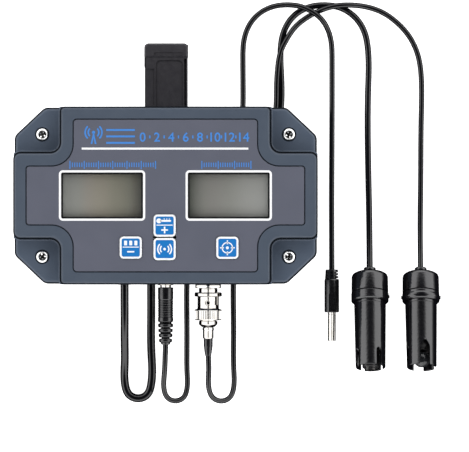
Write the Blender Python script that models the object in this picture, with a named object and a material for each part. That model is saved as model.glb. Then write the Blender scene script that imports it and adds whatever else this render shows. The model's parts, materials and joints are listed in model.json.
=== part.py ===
# A water quality meter that hangs on a wall or a tank's rim, with its leads and its two probes.
# It lies on its back: +Z comes out of the display face, +Y is the case's top edge, and the feet's
# undersides are at Z = 0. The row's origin is under the middle of the meter without its leads.
import math

import bmesh
import bpy
import numpy as np
from mathutils import Vector

MM = 0.001  # every size below is in millimetres, and meshes are made in metres

# ---- Case -------------------------------------------------------------------------------------
CASE_W, CASE_H = 154.0, 90.0
CHAMFER_X, CHAMFER_Y = 15.5, 14.6  # how far each cut-off corner reaches along the two sides
CHAMFER_ROUND = 5.0
WALL = 2.4
FOOT_H, FOOT_R = 8.0, 5.5
FOOT_X, FOOT_Y = 67.0, 25.0
REAR_Z0 = FOOT_H
REAR_FLOOR = REAR_Z0 + WALL
REAR_Z1 = 24.5
SEAL_Z0, SEAL_Z1 = 24.7, 25.7
FRONT_Z0 = 25.9
LEDGE_Z, LEDGE_UNDER = 30.6, 28.2
FACE_Z, FACE_UNDER = 38.0, 35.5
FACE_ROUND = 1.6
CROSS_ARM_X, CROSS_ARM_Y = 53.3, 21.9  # where the raised face steps down to the corner ledges
CROSS_INSET = 0.6
ROW_SHIFT_Y = -10.0  # from the case's centre to the row's origin

SCREW_X, SCREW_Y = 62.5, 31.0
SCREW_HEAD_R, SCREW_SHANK_R, SCREW_HOLE_R = 3.0, 1.5, 1.8
POST_X, POST_Y, POST_R = 44.0, 35.5, 2.5

# ---- Face: the printed overlay, the two displays and the four keys ------------------------------
OVERLAY_W, OVERLAY_H = 92.6, 76.6
OVERLAY_WING_W, OVERLAY_WING_H = 140.2, 29.2
OVERLAY_BAY_R = 11.3
OVERLAY_RECESS, OVERLAY_THICK = 0.7, 0.45
DISPLAY_X = 32.0
WINDOW_W, WINDOW_H = 41.4, 23.3
LENS_W, LENS_H, LENS_THICK = 41.8, 23.8, 1.3
GLASS_W, GLASS_H = 45.0, 27.5
KEY, KEY_ROUND, KEY_TOP = 11.2, 2.0, 38.6
KEY_TRAVEL_GAP = 0.9
KEYS = {
    "mode": (-17.5, -26.3),
    "temp": (-0.4, -15.2),
    "wireless": (-0.4, -27.06),
    "cal": (31.3, -26.4),
}
BOARD_Z0, BOARD_THICK = 28.0, 1.6

# ---- Hanger: a strap that slides in rails behind the case, with a sprung clip arm ---------------
STRAP_W, STRAP_CAP_W = 21.9, 22.4
STRAP_Z0, STRAP_Z1 = 4.8, 7.7
STRAP_LOW, STRAP_TOP, STRAP_CAP_LOW = 5.0, 78.0, 71.0
RAIL_IN, RAIL_LIP, RAIL_OUT = 11.4, 9.3, 13.9
RAIL_LOW, RAIL_HIGH = 8.0, 44.0
PIN_Y, PIN_Z, PIN_R = 74.0, 2.5, 0.8
ARM_HALF, ARM_LOW = 8.5, 35.0
ARM_Z0, ARM_Z1 = 0.5, 2.3
KNUCKLE_R = 1.9

# ---- Leads --------------------------------------------------------------------------------------
OUTLET_Z = 16.8  # height of the connectors' axes above the table
GROMMET_X, INLET_X, BNC_X = -21.1, -0.2, 21.5
EC_CORD_R, EC_SLEEVE_R, THIN_CORD_R = 1.6, 2.1, 1.4
SUPPLY_X, SUPPLY_Y, SUPPLY_Z = 84.7, -37.7, 3.8
PROBE_Y, PROBE_Z, PROBE_TILT = -36.7, 8.2, math.radians(-18.0)  # the tips point up
EC_PROBE_X, PH_PROBE_X = 104.0, 130.0

# Each lead's route, by hand, from the meter to its far end: x and y from the case's centre, z
# from the table.
EC_ROUTE = [
    (-21.1, -45.6, 16.8), (-21.1, -52.0, 16.6), (-21.1, -62.0, 15.0), (-21.2, -74.0, 10.6),
    (-21.3, -86.0, 5.2), (-21.1, -97.0, 2.4), (-19.2, -101.7, 2.2), (-14.5, -103.7, 2.2),
    (-9.8, -101.7, 2.2), (-7.9, -97.0, 2.2), (-7.7, -80.0, 2.2), (-7.8, -62.0, 2.2),
    (-7.8, -46.0, 2.2), (-7.0, -36.0, 2.1), (-3.0, -27.0, 1.8), (4.5, -18.5, 1.7),
    (13.5, -10.5, 2.6), (24.3, -1.0, 4.9), (35.0, 8.5, 2.7), (44.5, 17.5, 1.7),
    (52.5, 27.0, 1.7), (57.2, 37.0, 1.7), (58.9, 48.0, 1.7), (58.8, 62.0, 1.7),
    (58.5, 74.0, 1.7), (59.3, 81.0, 1.7), (62.6, 89.0, 1.7), (68.5, 94.7, 1.7),
    (75.0, 97.2, 1.7), (82.5, 97.7, 1.7), (89.5, 96.3, 1.7), (96.0, 92.2, 1.7),
    (101.0, 85.2, 1.7), (103.2, 76.0, 1.7), (103.4, 55.0, 1.7), (103.2, 30.0, 1.7),
    (103.6, 6.0, 1.7), (103.9, -10.0, 1.9), (104.0, -25.0, 4.5), (104.0, -36.4, 8.1),
]
POWER_ROUTE = [
    (-0.2, -76.1, 16.8), (-0.4, -82.0, 16.4), (-0.8, -90.0, 14.2), (-1.0, -99.1, 10.9),
    (0.7, -103.1, 9.4), (4.8, -104.8, 8.0), (8.8, -103.1, 6.6), (10.5, -99.1, 5.2),
    (10.6, -90.0, 2.7), (10.5, -80.0, 1.6), (10.5, -66.0, 1.5), (10.4, -52.0, 1.5),
    (10.8, -40.0, 1.5), (13.2, -26.0, 1.5), (18.2, -12.0, 1.5), (24.5, 0.0, 1.5),
    (31.0, 13.0, 1.5), (36.2, 27.0, 1.5), (38.8, 40.0, 1.5), (39.3, 54.0, 1.5),
    (39.2, 70.0, 1.5), (40.0, 81.0, 1.5), (43.6, 89.3, 1.6), (49.4, 94.7, 2.1),
    (55.6, 97.2, 3.1), (62.1, 97.8, 4.5), (68.7, 96.9, 5.9), (74.0, 94.6, 6.6),
    (78.4, 91.4, 6.1), (82.2, 86.2, 4.0), (84.5, 78.5, 2.0), (84.9, 70.0, 1.5),
    (84.9, 50.0, 1.5), (84.8, 20.0, 1.5), (84.7, -5.0, 1.6), (84.7, -18.0, 2.4),
    (84.7, -30.0, 3.7), (84.7, -37.4, 3.8),
]
PH_ROUTE = [
    (21.6, -81.7, 16.8), (21.8, -88.0, 16.2), (21.9, -98.5, 13.2), (23.8, -102.9, 11.4),
    (28.2, -104.8, 9.6), (32.6, -102.9, 7.8), (34.4, -98.5, 6.1), (34.5, -88.0, 2.9),
    (34.4, -78.0, 1.6), (34.4, -62.0, 1.5), (34.3, -48.0, 1.5), (34.8, -36.0, 1.5),
    (37.0, -22.0, 1.5), (41.0, -6.0, 1.5), (45.6, 8.0, 2.4), (49.8, 20.0, 4.6),
    (53.2, 30.0, 5.0), (55.2, 38.0, 4.8), (56.3, 47.0, 4.2), (56.5, 57.0, 4.3),
    (57.1, 66.0, 4.8), (58.8, 74.5, 5.1), (61.8, 80.5, 4.6), (66.0, 86.5, 2.8),
    (71.4, 91.0, 2.0), (78.2, 94.7, 3.6), (86.0, 97.1, 5.1), (94.5, 97.7, 4.1),
    (102.3, 96.9, 2.0), (110.0, 94.4, 1.5), (117.5, 89.4, 1.5), (124.4, 81.8, 1.5),
    (129.0, 71.8, 1.5), (130.6, 61.0, 1.5), (130.6, 40.0, 1.5), (130.3, 6.0, 1.5),
    (130.1, -10.0, 1.8), (130.0, -25.0, 4.5), (130.0, -36.4, 8.1),
]

ARC_STEP = math.radians(30)
POST_SIDES, FINE_SIDES, ROUND_SIDES = 10, 16, 24
CORD_SPACING = 2.8  # a cord's points, in diameters
PASS = 1.0  # how far a cutter runs past the face that it cuts


# ---- Materials ------------------------------------------------------------------------------------
def material(name, colour, roughness, metallic=0.0, alpha=1.0):
    made = bpy.data.materials.new(name)
    made.use_nodes = True
    shader = made.node_tree.nodes["Principled BSDF"]
    shader.inputs["Base Color"].default_value = (*colour, 1.0)
    shader.inputs["Roughness"].default_value = roughness
    shader.inputs["Metallic"].default_value = metallic
    shader.inputs["Alpha"].default_value = alpha
    return made


# ---- Outlines: lists of (x, y, corner radius), anticlockwise ---------------------------------------
def four_quadrants(corners):
    """A whole outline from its corners in the +X +Y quarter, listed from the X axis to the Y axis."""
    back = corners[::-1]
    return (
        list(corners)
        + [(-x, y, r) for x, y, r in back]
        + [(-x, -y, r) for x, y, r in corners]
        + [(x, -y, r) for x, y, r in back]
    )


def rectangle(width, height, radius):
    return four_quadrants([(width / 2, height / 2, radius)])


def inset(corners, distance):
    """The outline moved inwards: an outer corner's radius shrinks, and an inner corner's grows."""
    moved = []
    for i, (x, y, radius) in enumerate(corners):
        here = Vector((x, y))
        before = (here - Vector(corners[i - 1][:2])).normalized()
        after = (Vector(corners[(i + 1) % len(corners)][:2]) - here).normalized()
        turn = before.cross(after)
        point = here + (after - before) * (distance / turn)
        grown = radius - distance if turn > 0 else radius + distance
        moved.append((point.x, point.y, max(grown, 0.2)))
    return moved


def points_of(corners):
    """The outline's points, with each rounded corner as an arc."""
    points = []
    for i, (x, y, radius) in enumerate(corners):
        here = Vector((x, y))
        before = (here - Vector(corners[i - 1][:2])).normalized()
        after = (Vector(corners[(i + 1) % len(corners)][:2]) - here).normalized()
        if radius == 0:
            points.append(here)
            continue
        turn = before.angle_signed(after) * -1
        reach = radius * math.tan(abs(turn) / 2)
        start = here - before * reach
        side = math.copysign(1, turn)
        centre = start + Vector((-before.y, before.x)) * radius * side
        steps = max(2, round(abs(turn) / ARC_STEP))
        for step in range(steps + 1):
            angle = turn * step / steps
            arm = start - centre
            points.append(centre + Vector((
                arm.x * math.cos(angle) - arm.y * math.sin(angle),
                arm.x * math.sin(angle) + arm.y * math.cos(angle),
            )))
    return points


CASE = four_quadrants([
    (CASE_W / 2, CASE_H / 2 - CHAMFER_Y, CHAMFER_ROUND),
    (CASE_W / 2 - CHAMFER_X, CASE_H / 2, CHAMFER_ROUND),
])
CROSS = four_quadrants([
    (CASE_W / 2 - CROSS_INSET, CROSS_ARM_Y, 3.6),
    (CROSS_ARM_X, CROSS_ARM_Y, 5.0),
    (CROSS_ARM_X, CASE_H / 2 - CROSS_INSET, 2.4),
])
OVERLAY = four_quadrants([
    (OVERLAY_WING_W / 2, OVERLAY_WING_H / 2, 1.2),
    (OVERLAY_W / 2, OVERLAY_WING_H / 2, OVERLAY_BAY_R),
    (OVERLAY_W / 2, OVERLAY_H / 2, 1.6),
])


# ---- Solids ---------------------------------------------------------------------------------------
def solid(name, points, faces, finish=None):
    """An object from points in millimetres and the faces between them, with its faces turned out."""
    mesh = bpy.data.meshes.new(name)
    mesh.from_pydata([Vector(p) * MM for p in points], [], faces)
    shape = bmesh.new()
    shape.from_mesh(mesh)
    bmesh.ops.recalc_face_normals(shape, faces=shape.faces)
    shape.to_mesh(mesh)
    shape.free()
    obj = bpy.data.objects.new(name, mesh)
    bpy.context.scene.collection.objects.link(obj)
    if finish:
        mesh.materials.append(finish)
    return obj


def loft(name, layers, finish=None):
    """A solid through outlines of equal point counts, each given with its height."""
    count = len(layers[0][0])
    points = [(p.x, p.y, z) for outline, z in layers for p in outline]
    faces = [list(range(count)), [count * (len(layers) - 1) + i for i in range(count)][::-1]]
    for layer in range(len(layers) - 1):
        low, high = layer * count, (layer + 1) * count
        for i in range(count):
            j = (i + 1) % count
            faces.append([low + i, low + j, high + j, high + i])
    return solid(name, points, faces, finish)


def prism(name, corners, low, high, finish=None):
    outline = points_of(corners)
    return loft(name, [(outline, low), (outline, high)], finish)


def rounded_prism(name, corners, low, high, radius, finish=None, steps=3):
    """A prism whose top edge is rounded."""
    layers = [(points_of(corners), low)]
    for step in range(steps + 1):
        angle = math.pi / 2 * step / steps
        shift = radius * (1 - math.cos(angle))
        layers.append((points_of(inset(corners, shift)), high - radius * (1 - math.sin(angle))))
    return loft(name, layers, finish)


def box(name, low, high, finish=None):
    corners = [(high[0], high[1], 0), (low[0], high[1], 0), (low[0], low[1], 0), (high[0], low[1], 0)]
    return prism(name, corners, low[2], high[2], finish)


def turned(name, section, sides, finish=None, ring=False):
    """A section of (distance along Z, radius), turned about Z. A ring's section closes on itself."""
    points, faces = [], []
    for along, radius in section:
        for i in range(sides):
            angle = 2 * math.pi * (i + 0.5) / sides
            points.append((radius * math.sin(angle), radius * math.cos(angle), along))
    bands = len(section) if ring else len(section) - 1
    for band in range(bands):
        low, high = band * sides, (band + 1) % len(section) * sides
        for i in range(sides):
            j = (i + 1) % sides
            faces.append([low + i, low + j, high + j, high + i])
    if not ring:
        faces.append(list(range(sides)))
        faces.append([(len(section) - 1) * sides + i for i in range(sides)])
    return solid(name, points, faces, finish)


def rod(name, radius, low, high, sides=FINE_SIDES, finish=None):
    return turned(name, [(low, radius), (high, radius)], sides, finish)


def sector(name, inner, outer, start, end, low, high):
    """A curved bar about Z between two radii and two angles, measured from +Y towards +X."""
    steps = max(2, round(abs(end - start) / ARC_STEP))
    angles = [start + (end - start) * i / steps for i in range(steps + 1)]
    outline = [Vector((outer * math.sin(a), outer * math.cos(a))) for a in angles]
    outline += [Vector((inner * math.sin(a), inner * math.cos(a))) for a in reversed(angles)]
    return loft(name, [(outline, low), (outline, high)])


def empty(name, place, turn=(0, 0, 0), parent=None):
    made = bpy.data.objects.new(name, None)
    made.location = Vector(place) * MM
    made.rotation_euler = turn
    made.parent = parent
    bpy.context.scene.collection.objects.link(made)
    return made


def put(obj, parent, place=(0, 0, 0), turn=(0, 0, 0)):
    obj.parent = parent
    obj.location = Vector(place) * MM
    obj.rotation_euler = turn
    return obj


def boolean(target, tool, operation):
    """Joins the tool to the target or cuts it away, and leaves the tool out of the model."""
    step = target.modifiers.new(tool.name, "BOOLEAN")
    step.operation = operation
    step.solver = "EXACT"
    step.object = tool
    tool.hide_render = True
    tool.display_type = "WIRE"
    if tool.parent is None:
        tool.parent = target


def cut(target, *tools):
    for tool in tools:
        boolean(target, tool, "DIFFERENCE")
    return target


def join(target, *tools):
    for tool in tools:
        boolean(target, tool, "UNION")
    return target


def shade_round(obj):
    obj.data.shade_smooth()
    obj.data.set_sharp_from_angle(angle=math.radians(35))


LYING = (math.pi / 2, 0, 0)  # turns a piece made along +Z to run along -Y, its +Y upwards
CORNERS = [(sx, sy) for sy in (1, -1) for sx in (1, -1)]


# ---- Case pieces ------------------------------------------------------------------------------------
def make_rear_cover(root, finish):
    layers = [
        (points_of(inset(CASE, 2.2)), REAR_Z0),
        (points_of(inset(CASE, 0.7)), REAR_Z0 + 0.6),
        (points_of(CASE), REAR_Z0 + 2.2),
        (points_of(CASE), REAR_Z1),
    ]
    cover = put(loft("rear_cover", layers, finish), root)
    cut(cover, prism("rear_hollow", inset(CASE, WALL), REAR_FLOOR, REAR_Z1 + PASS))
    for i, (sx, sy) in enumerate(CORNERS):
        boss = rod(f"rear_boss_{i}", 4.2, REAR_FLOOR - PASS, REAR_Z1 - 0.1)
        post = rod(f"rear_post_{i}", POST_R, REAR_FLOOR - PASS, BOARD_Z0 - 0.2, POST_SIDES)
        boss.location = Vector((sx * SCREW_X, sy * SCREW_Y, 0)) * MM
        post.location = Vector((sx * POST_X, sy * POST_Y, 0)) * MM
        join(cover, boss, post)
    for side in (1, -1):
        rail_section = [
            (side * RAIL_LIP, 3.0, 0), (side * RAIL_OUT, 3.0, 0),
            (side * RAIL_OUT, REAR_FLOOR - PASS, 0), (side * RAIL_IN, REAR_FLOOR - PASS, 0),
            (side * RAIL_IN, 4.5, 0), (side * RAIL_LIP, 4.5, 0),
        ]
        rail = prism(f"rail_{side}", rail_section, -RAIL_HIGH, -RAIL_LOW)
        rail.rotation_euler = LYING
        join(cover, rail)
    for i, (sx, sy) in enumerate(CORNERS):
        hole = rod(f"rear_screw_hole_{i}", SCREW_HOLE_R, REAR_FLOOR + 1.5, REAR_Z1 + PASS, POST_SIDES)
        hole.location = Vector((sx * SCREW_X, sy * SCREW_Y, 0)) * MM
        cut(cover, hole)
    for x, radius in ((GROMMET_X, 3.9), (INLET_X, 4.2), (BNC_X, 4.9)):
        outlet = rod(f"outlet_{x}", radius, -WALL - PASS, PASS)
        outlet.location = Vector((x, -CASE_H / 2, OUTLET_Z)) * MM
        outlet.rotation_euler = LYING
        cut(cover, outlet)
    return cover


def make_front_cover(root, finish):
    cover = put(rounded_prism("front_cover", CASE, FRONT_Z0, LEDGE_Z, 1.1, finish, steps=2), root)
    raised = rounded_prism("front_raised", CROSS, FRONT_Z0 + 0.6, FACE_Z, FACE_ROUND)
    join(cover, raised)
    cut(
        cover,
        prism("front_hollow", inset(CASE, WALL), FRONT_Z0 - PASS, LEDGE_UNDER),
        prism("face_hollow", inset(CROSS, WALL), FRONT_Z0 - PASS, FACE_UNDER),
    )
    for i, (sx, sy) in enumerate(CORNERS):
        boss = rod(f"front_boss_{i}", 4.2, FRONT_Z0 + 0.1, LEDGE_Z - PASS)
        post = rod(f"front_post_{i}", POST_R, BOARD_Z0 + BOARD_THICK + 0.2, FACE_Z - PASS, POST_SIDES)
        boss.location = Vector((sx * SCREW_X, sy * SCREW_Y, 0)) * MM
        post.location = Vector((sx * POST_X, sy * POST_Y, 0)) * MM
        join(cover, boss, post)
    for i, (sx, sy) in enumerate(CORNERS):
        hole = rod(f"front_screw_hole_{i}", SCREW_HOLE_R, FRONT_Z0 - PASS, LEDGE_Z + PASS, POST_SIDES)
        seat = rod(f"screw_seat_{i}", SCREW_HEAD_R + 0.4, LEDGE_Z - 1.1, LEDGE_Z + PASS)
        for tool in (hole, seat):
            tool.location = Vector((sx * SCREW_X, sy * SCREW_Y, 0)) * MM
        cut(cover, hole, seat)
    recess = prism("overlay_recess", inset(OVERLAY, -0.35), FACE_Z - OVERLAY_RECESS, FACE_Z + PASS)
    cut(cover, recess)
    for side in (1, -1):
        window = prism(
            f"cover_window_{side}", rectangle(WINDOW_W + 1.0, WINDOW_H + 1.1, 1.2),
            FACE_UNDER - PASS, FACE_Z + PASS,
        )
        window.location.x = side * DISPLAY_X * MM
        cut(cover, window)
    cut(cover, *key_openings("cover", 0.25))
    return cover


def key_openings(name, gap):
    """The two keys that stand one above the other share one opening."""
    openings = []
    for key in ("mode", "cal"):
        x, y = KEYS[key]
        opening = prism(
            f"{name}_opening_{key}", rectangle(KEY + 2 * gap, KEY + 2 * gap, KEY_ROUND + gap),
            FACE_UNDER - PASS, FACE_Z + PASS,
        )
        opening.location = Vector((x, y, 0)) * MM
        openings.append(opening)
    (x, high), (_, low) = KEYS["temp"], KEYS["wireless"]
    shared = prism(
        f"{name}_opening_pair", rectangle(KEY + 2 * gap, KEY + 2 * gap + high - low, KEY_ROUND + gap),
        FACE_UNDER - PASS, FACE_Z + PASS,
    )
    shared.location = Vector((x, (high + low) / 2, 0)) * MM
    openings.append(shared)
    return openings


def make_seal(root, finish):
    seal = put(prism("case_gasket", inset(CASE, 0.7), SEAL_Z0, SEAL_Z1, finish), root)
    return cut(seal, prism("seal_hollow", inset(CASE, 2.1), SEAL_Z0 - PASS, SEAL_Z1 + PASS))


def make_fasteners(root, steel, rubber):
    screw = [
        (REAR_FLOOR + 3.0, 0.5), (REAR_FLOOR + 4.2, SCREW_SHANK_R),
        (LEDGE_Z - 1.0, SCREW_SHANK_R), (LEDGE_Z - 1.0, SCREW_HEAD_R),
        (LEDGE_Z - 0.1, SCREW_HEAD_R), (LEDGE_Z + 0.6, 2.3), (LEDGE_Z + 0.9, 1.2),
    ]
    foot = [(0, FOOT_R - 0.8), (0.8, FOOT_R), (FOOT_H - 0.1, FOOT_R)]
    for number, (sx, sy) in enumerate(CORNERS, 1):
        made = turned(f"case_screw_{number}", screw, 16, steel)
        shade_round(put(made, root, (sx * SCREW_X, sy * SCREW_Y, 0)))
        made = turned(f"foot_{number}", foot, FINE_SIDES, rubber)
        shade_round(put(made, root, (sx * FOOT_X, sy * FOOT_Y, 0)))


def make_overlay(root, finish):
    low = FACE_Z - OVERLAY_RECESS + 0.2
    overlay = put(prism("face_overlay", OVERLAY, low, low + OVERLAY_THICK, finish), root)
    for side in (1, -1):
        window = prism(
            f"overlay_window_{side}", rectangle(WINDOW_W, WINDOW_H, 0.9), low - PASS, FACE_Z + PASS
        )
        window.location.x = side * DISPLAY_X * MM
        cut(overlay, window)
    return cut(overlay, *key_openings("overlay", 0.25))


def make_displays(root, lens_finish, glass_finish):
    board_top = BOARD_Z0 + BOARD_THICK
    for side, word in ((-1, "left"), (1, "right")):
        lens = prism(
            f"display_lens_{word}", rectangle(LENS_W, LENS_H, 1.0),
            FACE_UNDER + 0.4, FACE_UNDER + 0.4 + LENS_THICK, lens_finish,
        )
        put(lens, root, (side * DISPLAY_X, 0, 0))
        glass = prism(
            f"display_glass_{word}", rectangle(GLASS_W, GLASS_H, 0.5),
            board_top + 0.2, FACE_UNDER - 0.2, glass_finish,
        )
        put(glass, root, (side * DISPLAY_X, 0, 0))


def make_board(root, board_finish, can_finish, module_finish):
    outline = four_quadrants([(60.0, 18.0, 1.0), (49.0, 18.0, 1.5), (49.0, 40.0, 1.5)])
    put(prism("main_board", outline, BOARD_Z0, BOARD_Z0 + BOARD_THICK, board_finish), root)
    under = BOARD_Z0 - 0.2
    shield = prism("input_shield", rectangle(20, 16, 1.0), under - 5.5, under, can_finish)
    put(shield, root, (24, -24, 0))
    module = prism("wireless_module", rectangle(18, 24, 0.8), under - 2.6, under, module_finish)
    put(module, root, (-26, 18, 0))


def make_keys(root, key_finish, switch_finish):
    board_top = BOARD_Z0 + BOARD_THICK + 0.2
    under = FACE_UNDER - 0.9
    for key, (x, y) in KEYS.items():
        outline = rectangle(KEY, KEY, KEY_ROUND)
        cap = rounded_prism(f"button_{key}", outline, under, KEY_TOP, 0.4, key_finish, 2)
        half = KEY / 2
        low, high = (-half - 1.2, -half + 0.1, under), (half + 1.2, half - 0.1, FACE_UNDER - 0.2)
        join(put(cap, root, (x, y, 0)), box(f"key_flange_{key}", low, high))
        switch = box(f"switch_{key}", (-3, -3, board_top), (3, 3, board_top + 3.4), switch_finish)
        reach = under - KEY_TRAVEL_GAP
        plunger = rod(f"plunger_{key}", 1.7, board_top + 3.0, reach, POST_SIDES)
        join(put(switch, root, (x, y, 0)), plunger)


# ---- Hanger -----------------------------------------------------------------------------------------
def make_strap(root, finish):
    half, cap = STRAP_W / 2, STRAP_CAP_W / 2
    outline = [
        (cap, STRAP_CAP_LOW, 0), (cap, STRAP_TOP, 2.0), (-cap, STRAP_TOP, 2.0), (-cap, 66.0, 0),
        (-half, 65.5, 0), (-half, STRAP_LOW, 1.0), (half, STRAP_LOW, 1.0), (half, STRAP_CAP_LOW - 0.4, 0),
    ]
    strap = put(prism("hanger_strap", outline, STRAP_Z0, STRAP_Z1, finish), root)
    head = [
        (cap, STRAP_CAP_LOW, 0.3), (cap, STRAP_TOP, 2.0), (-cap, STRAP_TOP, 2.0), (-cap, STRAP_CAP_LOW, 0.3),
    ]
    join(strap, rounded_prism("strap_head", head, STRAP_Z0 + 0.5, STRAP_Z1 + 0.9, 0.6, steps=2))
    for side in (1, -1):
        inner, outer = sorted((side * (ARM_HALF + 0.4), side * (cap - 0.05)))
        ear = box(f"strap_ear_{side}", (inner, 70.6, 0.7), (outer, STRAP_TOP - 0.6, STRAP_Z0 + 0.6))
        join(strap, ear)
    cut(
        strap,
        box("strap_panel", (-5.4, 9.0, STRAP_Z1 - 0.6), (8.6, 69.0, STRAP_Z1 + PASS)),
        box("strap_groove", (9.2, 9.0, STRAP_Z1 - 0.5), (9.7, 70.0, STRAP_Z1 + PASS)),
    )
    bore = rod("strap_pin_bore", PIN_R + 0.1, -STRAP_CAP_W, STRAP_CAP_W, POST_SIDES)
    bore.location = Vector((0, PIN_Y, PIN_Z)) * MM
    bore.rotation_euler = (0, math.pi / 2, 0)
    return cut(strap, bore)


def make_clip(root, arm_finish, steel):
    pivot = empty("clip_pivot", (0, PIN_Y, PIN_Z), parent=root)
    reach, under, over = ARM_LOW - PIN_Y, ARM_Z0 - PIN_Z, ARM_Z1 - PIN_Z
    plate = [(ARM_HALF, 0, 0), (-ARM_HALF, 0, 0), (-ARM_HALF, reach, 2.0), (ARM_HALF, reach, 2.0)]
    arm = put(prism("clip_arm", plate, under, over, arm_finish), pivot)
    knuckle = rod("arm_knuckle", KNUCKLE_R, -ARM_HALF, ARM_HALF)
    bore = rod("arm_bore", PIN_R + 0.2, -ARM_HALF - PASS, ARM_HALF + PASS, POST_SIDES)
    for tool in (knuckle, bore):
        tool.rotation_euler = (0, math.pi / 2, 0)
    join(arm, knuckle)
    for i in range(4):  # teeth that bite on what the clip grips
        y = reach + 2.0 + 2.4 * i
        profile = [(y, over - 0.3, 0), (y + 1.6, over - 0.3, 0), (y + 0.8, 1.7, 0)]
        tooth = prism(f"arm_tooth_{i}", profile, -6.5, 6.5)
        tooth.rotation_euler = (math.pi / 2, 0, math.pi / 2)
        join(arm, tooth)
    cut(arm, bore, box("arm_spring_bay", (-3.2, -2.4, -5), (3.2, 5, 5)))
    pin = put(rod("clip_pin", PIN_R, -10.9, 10.9, POST_SIDES, steel), pivot)
    pin.rotation_euler = (0, math.pi / 2, 0)
    make_spring(pivot, steel)


def make_spring(pivot, steel):
    """A torsion spring round the pin: one leg bears on the strap, the other on the arm."""
    wire, coil_r, turns, half = 0.28, 1.35, 3, 2.4
    route = [(-half, -7.5, 1.75)]
    per_turn = 10
    for step in range(turns * per_turn + 1):
        angle = math.pi / 2 - 2 * math.pi * step / per_turn
        along = -half + 2 * half * step / (turns * per_turn)
        route.append((along, coil_r * math.cos(angle), coil_r * math.sin(angle)))
    route.append((half, -7.5, 0.35))
    tube(
        "clip_spring", [Vector(p) for p in route], [wire] * len(route), steel, pivot, sides=1
    )


# ---- Connectors and leads -----------------------------------------------------------------------------
def tube(name, points, radii, finish, parent, sides=2):
    """A filled tube along straight segments through the points."""
    curve = bpy.data.curves.new(name, "CURVE")
    curve.dimensions = "3D"
    curve.bevel_depth = MM
    curve.bevel_resolution = sides
    curve.use_fill_caps = True
    spline = curve.splines.new("POLY")
    spline.points.add(len(points) - 1)
    for slot, point, radius in zip(spline.points, points, radii):
        slot.co = (*(point * MM), 1.0)
        slot.radius = radius
    curve.materials.append(finish)
    made = bpy.data.objects.new(name, curve)
    bpy.context.scene.collection.objects.link(made)
    made.parent = parent
    return made


def smooth(route, spacing, lowest):
    """Points a fixed distance apart along the cubic spline through a route, none under a height."""
    points = np.array(route)
    knots = np.concatenate([[0.0], np.cumsum(np.linalg.norm(np.diff(points, axis=0), axis=1))])
    gaps = np.diff(knots)
    slopes = np.diff(points, axis=0) / gaps[:, None]
    system = np.eye(len(points))
    right = np.zeros_like(points)
    for i in range(1, len(points) - 1):
        system[i, i - 1 : i + 2] = gaps[i - 1], 2 * (gaps[i - 1] + gaps[i]), gaps[i]
        right[i] = 6 * (slopes[i] - slopes[i - 1])
    bends = np.linalg.solve(system, right)  # zero at both ends, so the lead leaves straight
    places = np.linspace(0, knots[-1], 4000)
    span = np.clip(np.searchsorted(knots, places, side="right") - 1, 0, len(gaps) - 1)
    near = ((knots[span + 1] - places) / gaps[span])[:, None]
    far = 1 - near
    fine = near * points[span] + far * points[span + 1] + (gaps[span] ** 2 / 6)[:, None] * (
        (near**3 - near) * bends[span] + (far**3 - far) * bends[span + 1]
    )
    fine[:, 2] = np.maximum(fine[:, 2], lowest)
    run = np.concatenate([[0.0], np.cumsum(np.linalg.norm(np.diff(fine, axis=0), axis=1))])
    even = np.linspace(0, run[-1], round(run[-1] / spacing) + 1)
    columns = [np.interp(even, run, fine[:, axis]) for axis in range(3)]
    return [Vector(place) for place in zip(*columns)]


def make_cords(root, finish):
    sleeve_end = -22.0  # behind the case, where the thicker outer sleeve of the first cord stops
    points = smooth(EC_ROUTE, CORD_SPACING * 2 * EC_CORD_R, EC_CORD_R + 0.1)
    last = next(i for i, p in enumerate(points) if p.y > sleeve_end and p.z < 5)
    radii = [EC_SLEEVE_R if i < last else EC_CORD_R for i in range(len(points))]
    tube("ec_cord", points, radii, finish, root)
    for name, route in (("power_cord", POWER_ROUTE), ("ph_cord", PH_ROUTE)):
        points = smooth(route, CORD_SPACING * 2 * THIN_CORD_R, THIN_CORD_R + 0.1)
        tube(name, points, [THIN_CORD_R] * len(points), finish, root)


def make_outlets(root, nickel, black, rubber):
    inner, outer = -WALL - 1.6, -WALL - 0.3
    grommet = [(inner, 2.5), (inner, 5.0), (outer, 5.0), (outer, 3.5), (0.3, 3.5), (0.3, 2.5)]
    seat = empty("grommet_seat", (GROMMET_X, -CASE_H / 2, OUTLET_Z), LYING, root)
    shade_round(put(turned("cable_grommet", grommet, FINE_SIDES, rubber, ring=True), seat))

    inlet = [(-7.5, 4.8), (-2.7, 4.8), (-2.7, 3.9), (0.6, 3.9), (0.6, 2.75), (10.6, 2.75), (11.0, 2.4)]
    seat = empty("inlet_seat", (INLET_X, -CASE_H / 2, OUTLET_Z), LYING, root)
    shade_round(put(turned("power_inlet", inlet, FINE_SIDES, nickel), seat))
    rings = []
    for i in range(4):
        at, outer = 20.2 + 2.7 * i, 3.85 - 0.18 * i
        rings += [(at, 2.5), (at + 0.15, outer), (at + 1.6, outer), (at + 1.75, 2.5)]
    socket = [(1.8, 3.05), (1.8, 3.7), (2.1, 3.95), (19.2, 3.95), (19.6, 3.6), (19.7, 2.5)]
    socket += rings + [(30.8, 2.0), (30.8, 1.2), (12.0, 1.2), (11.6, 3.05)]
    shade_round(put(turned("power_connector", socket, FINE_SIDES, black, ring=True), seat))


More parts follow.
